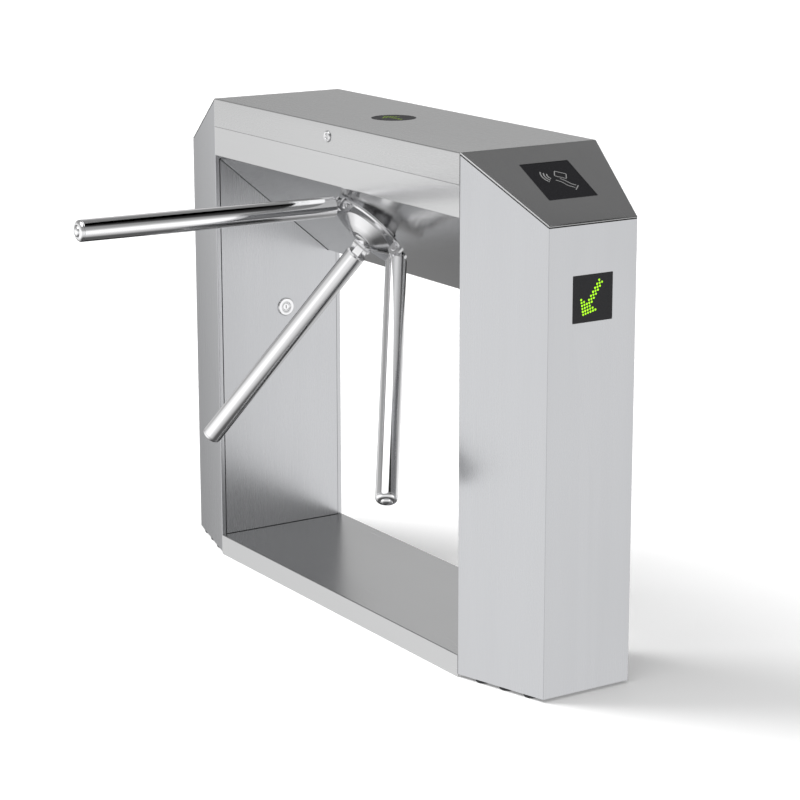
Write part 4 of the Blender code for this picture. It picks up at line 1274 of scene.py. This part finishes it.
def dress_nodes():
    for side in SIDES:
        kept(f"leg_door_{side}", BRUSHED_UP_PAINTED_SHADE, 0.0005)
        kept(f"foot_plate_{side}", ZINC)
        kept(f"reader_window_{side}", ACRYLIC, 0.0003)
        kept(f"indicator_window_{side}", ACRYLIC, 0.0003)
        kept(f"pawl_{side}", MACHINED, 0.0003)
        kept(f"plunger_{side}", BRASS, 0.0003)
    kept("top_indicator_window", SATIN_ACRYLIC, 0.0003)
    for name in ("base_frame", "mechanism_chassis", "lid_hinge_leaf", "housing_hinge_leaf"):
        kept(name, ZINC, 0.0003)
    kept("lid_lock_keeper", ZINC, 0.0003)
    for name in ("bearing_housing", "rotor_shaft", "ratchet_wheel", "index_cam"):
        kept(name, MACHINED, 0.0004)


# ---------------------------------------------------------------- studio


def studio_world():
    """Bright just below the horizon and dim overhead, with four soft lights and two dark flags."""
    world = bpy.data.worlds.new("studio")
    bpy.context.scene.world = world
    world.use_nodes = True
    tree = world.node_tree
    nodes, links = tree.nodes, tree.links
    coordinates = nodes.new("ShaderNodeTexCoord")
    split = nodes.new("ShaderNodeSeparateXYZ")
    ramp = nodes.new("ShaderNodeValToRGB")
    half = nodes.new("ShaderNodeMapRange")
    half.inputs["From Min"].default_value = -1.0
    links.new(coordinates.outputs["Generated"], split.inputs[0])
    links.new(split.outputs["Z"], half.inputs["Value"])
    links.new(half.outputs["Result"], ramp.inputs["Fac"])
    elements = ramp.color_ramp.elements
    while len(elements) < len(SKY_LEVELS):
        elements.new(0.5)
    for element, (height, level) in zip(elements, SKY_LEVELS):
        element.position = (height + 1.0) / 2
        element.color = (level, level, level, 1.0)
    total = ramp.outputs["Color"]
    for azimuth, elevation, full, none, level in SKY_PATCHES:
        aim = nodes.new("ShaderNodeVectorMath")
        aim.operation = "DOT_PRODUCT"
        aim.inputs[1].default_value = (
            cos(radians(elevation)) * cos(radians(azimuth)),
            cos(radians(elevation)) * sin(radians(azimuth)), sin(radians(elevation)),
        )
        links.new(coordinates.outputs["Generated"], aim.inputs[0])
        glow = nodes.new("ShaderNodeMapRange")
        glow.interpolation_type = "SMOOTHSTEP"
        glow.inputs["From Min"].default_value = cos(radians(none))
        glow.inputs["From Max"].default_value = cos(radians(full))
        glow.inputs["To Max"].default_value = level
        links.new(aim.outputs["Value"], glow.inputs["Value"])
        add = nodes.new("ShaderNodeMix")
        add.data_type = "RGBA"
        add.blend_type = "ADD"
        add.inputs[0].default_value = 1.0
        links.new(total, add.inputs[6])
        links.new(glow.outputs["Result"], add.inputs[7])
        total = add.outputs[2]
    links.new(total, nodes["Background"].inputs["Color"])


def studio_floor():
    """A pale floor that glows faintly and stays out of the steel's reflections."""
    look = Look("pale_floor", (0.86, 0.86, 0.86), 0.9, 0.0, Specular_IOR_Level=0.0)
    mottle = look.noise(2.0)
    look.to("Base Color", look.shade(mottle, [(0.855, 0.855, 0.855), (0.865, 0.865, 0.865)]))
    look.set("Emission Color", (1.0, 1.0, 1.0, 1.0))
    look.set("Emission Strength", FLOOR_GLOW)
    work = bmesh.new()
    work.faces.new([work.verts.new((x, y, 0.0)) for x, y in rectangle(FLOOR_HALF, FLOOR_HALF)])
    floor = finish_mesh("studio_floor", work, look.material)
    floor.visible_glossy = False


def studio_sun():
    data = bpy.data.lights.new("key_light", "SUN")
    data.energy = SUN_STRENGTH
    data.angle = SUN_SPREAD
    sun = linked("key_light", data)
    sun.rotation_euler = Vector(SUN_DIRECTION).to_track_quat("Z", "Y").to_euler()
    sun.visible_glossy = False


def camera():
    data = bpy.data.cameras.new("camera")
    data.lens = CAMERA_LENS
    data.sensor_width = 36.0
    data.shift_x, data.shift_y = CAMERA_SHIFT
    data.clip_end = 500.0
    seen = linked("camera", data)
    seen.location = CAMERA_PLACE
    seen.rotation_euler = (pi / 2 - CAMERA_ELEVATION, 0.0, CAMERA_AZIMUTH)
    bpy.context.scene.camera = seen


# ---------------------------------------------------------------- everything

bpy.context.scene.view_settings.view_transform = "Standard"
camera()
studio_world()
studio_floor()
studio_sun()
dress_nodes()
for side, way in SIDES.items():
    leg_casing(side, way)
    slope_cover(side, way)
    end_indicator(side, way)
    reader_symbol(side, way)
    levelling_feet(side, way)
    solenoid(side, way)
    reader_module(side, way)
    light_board(f"indicator_board_{side}", "root", end_frame(way))
    hinge_rod(side)
    keeper_strip(side, way)
bridge_casing()
base_casing()
lid_casing()
top_indicator()
light_board("top_indicator_board", "lid", at(0.0, 0.0, 0.0), True)
control_board()
power_supply()
position_sensor()
damper()
bearing("front_bearing")
bearing("rear_bearing")
for lock_name, lock_place in lock_frames().items():
    cam_lock(lock_name, lock_place)
hub()
hub_button()
for arm_name in ARM_TURNS:
    arm_body = "barrier_arm" if arm_name == "barrier_arm" else "rotor"
    arm(arm_name, arm_body)
    end_cap(arm_name, arm_body)
    pivot_bolt(arm_name)
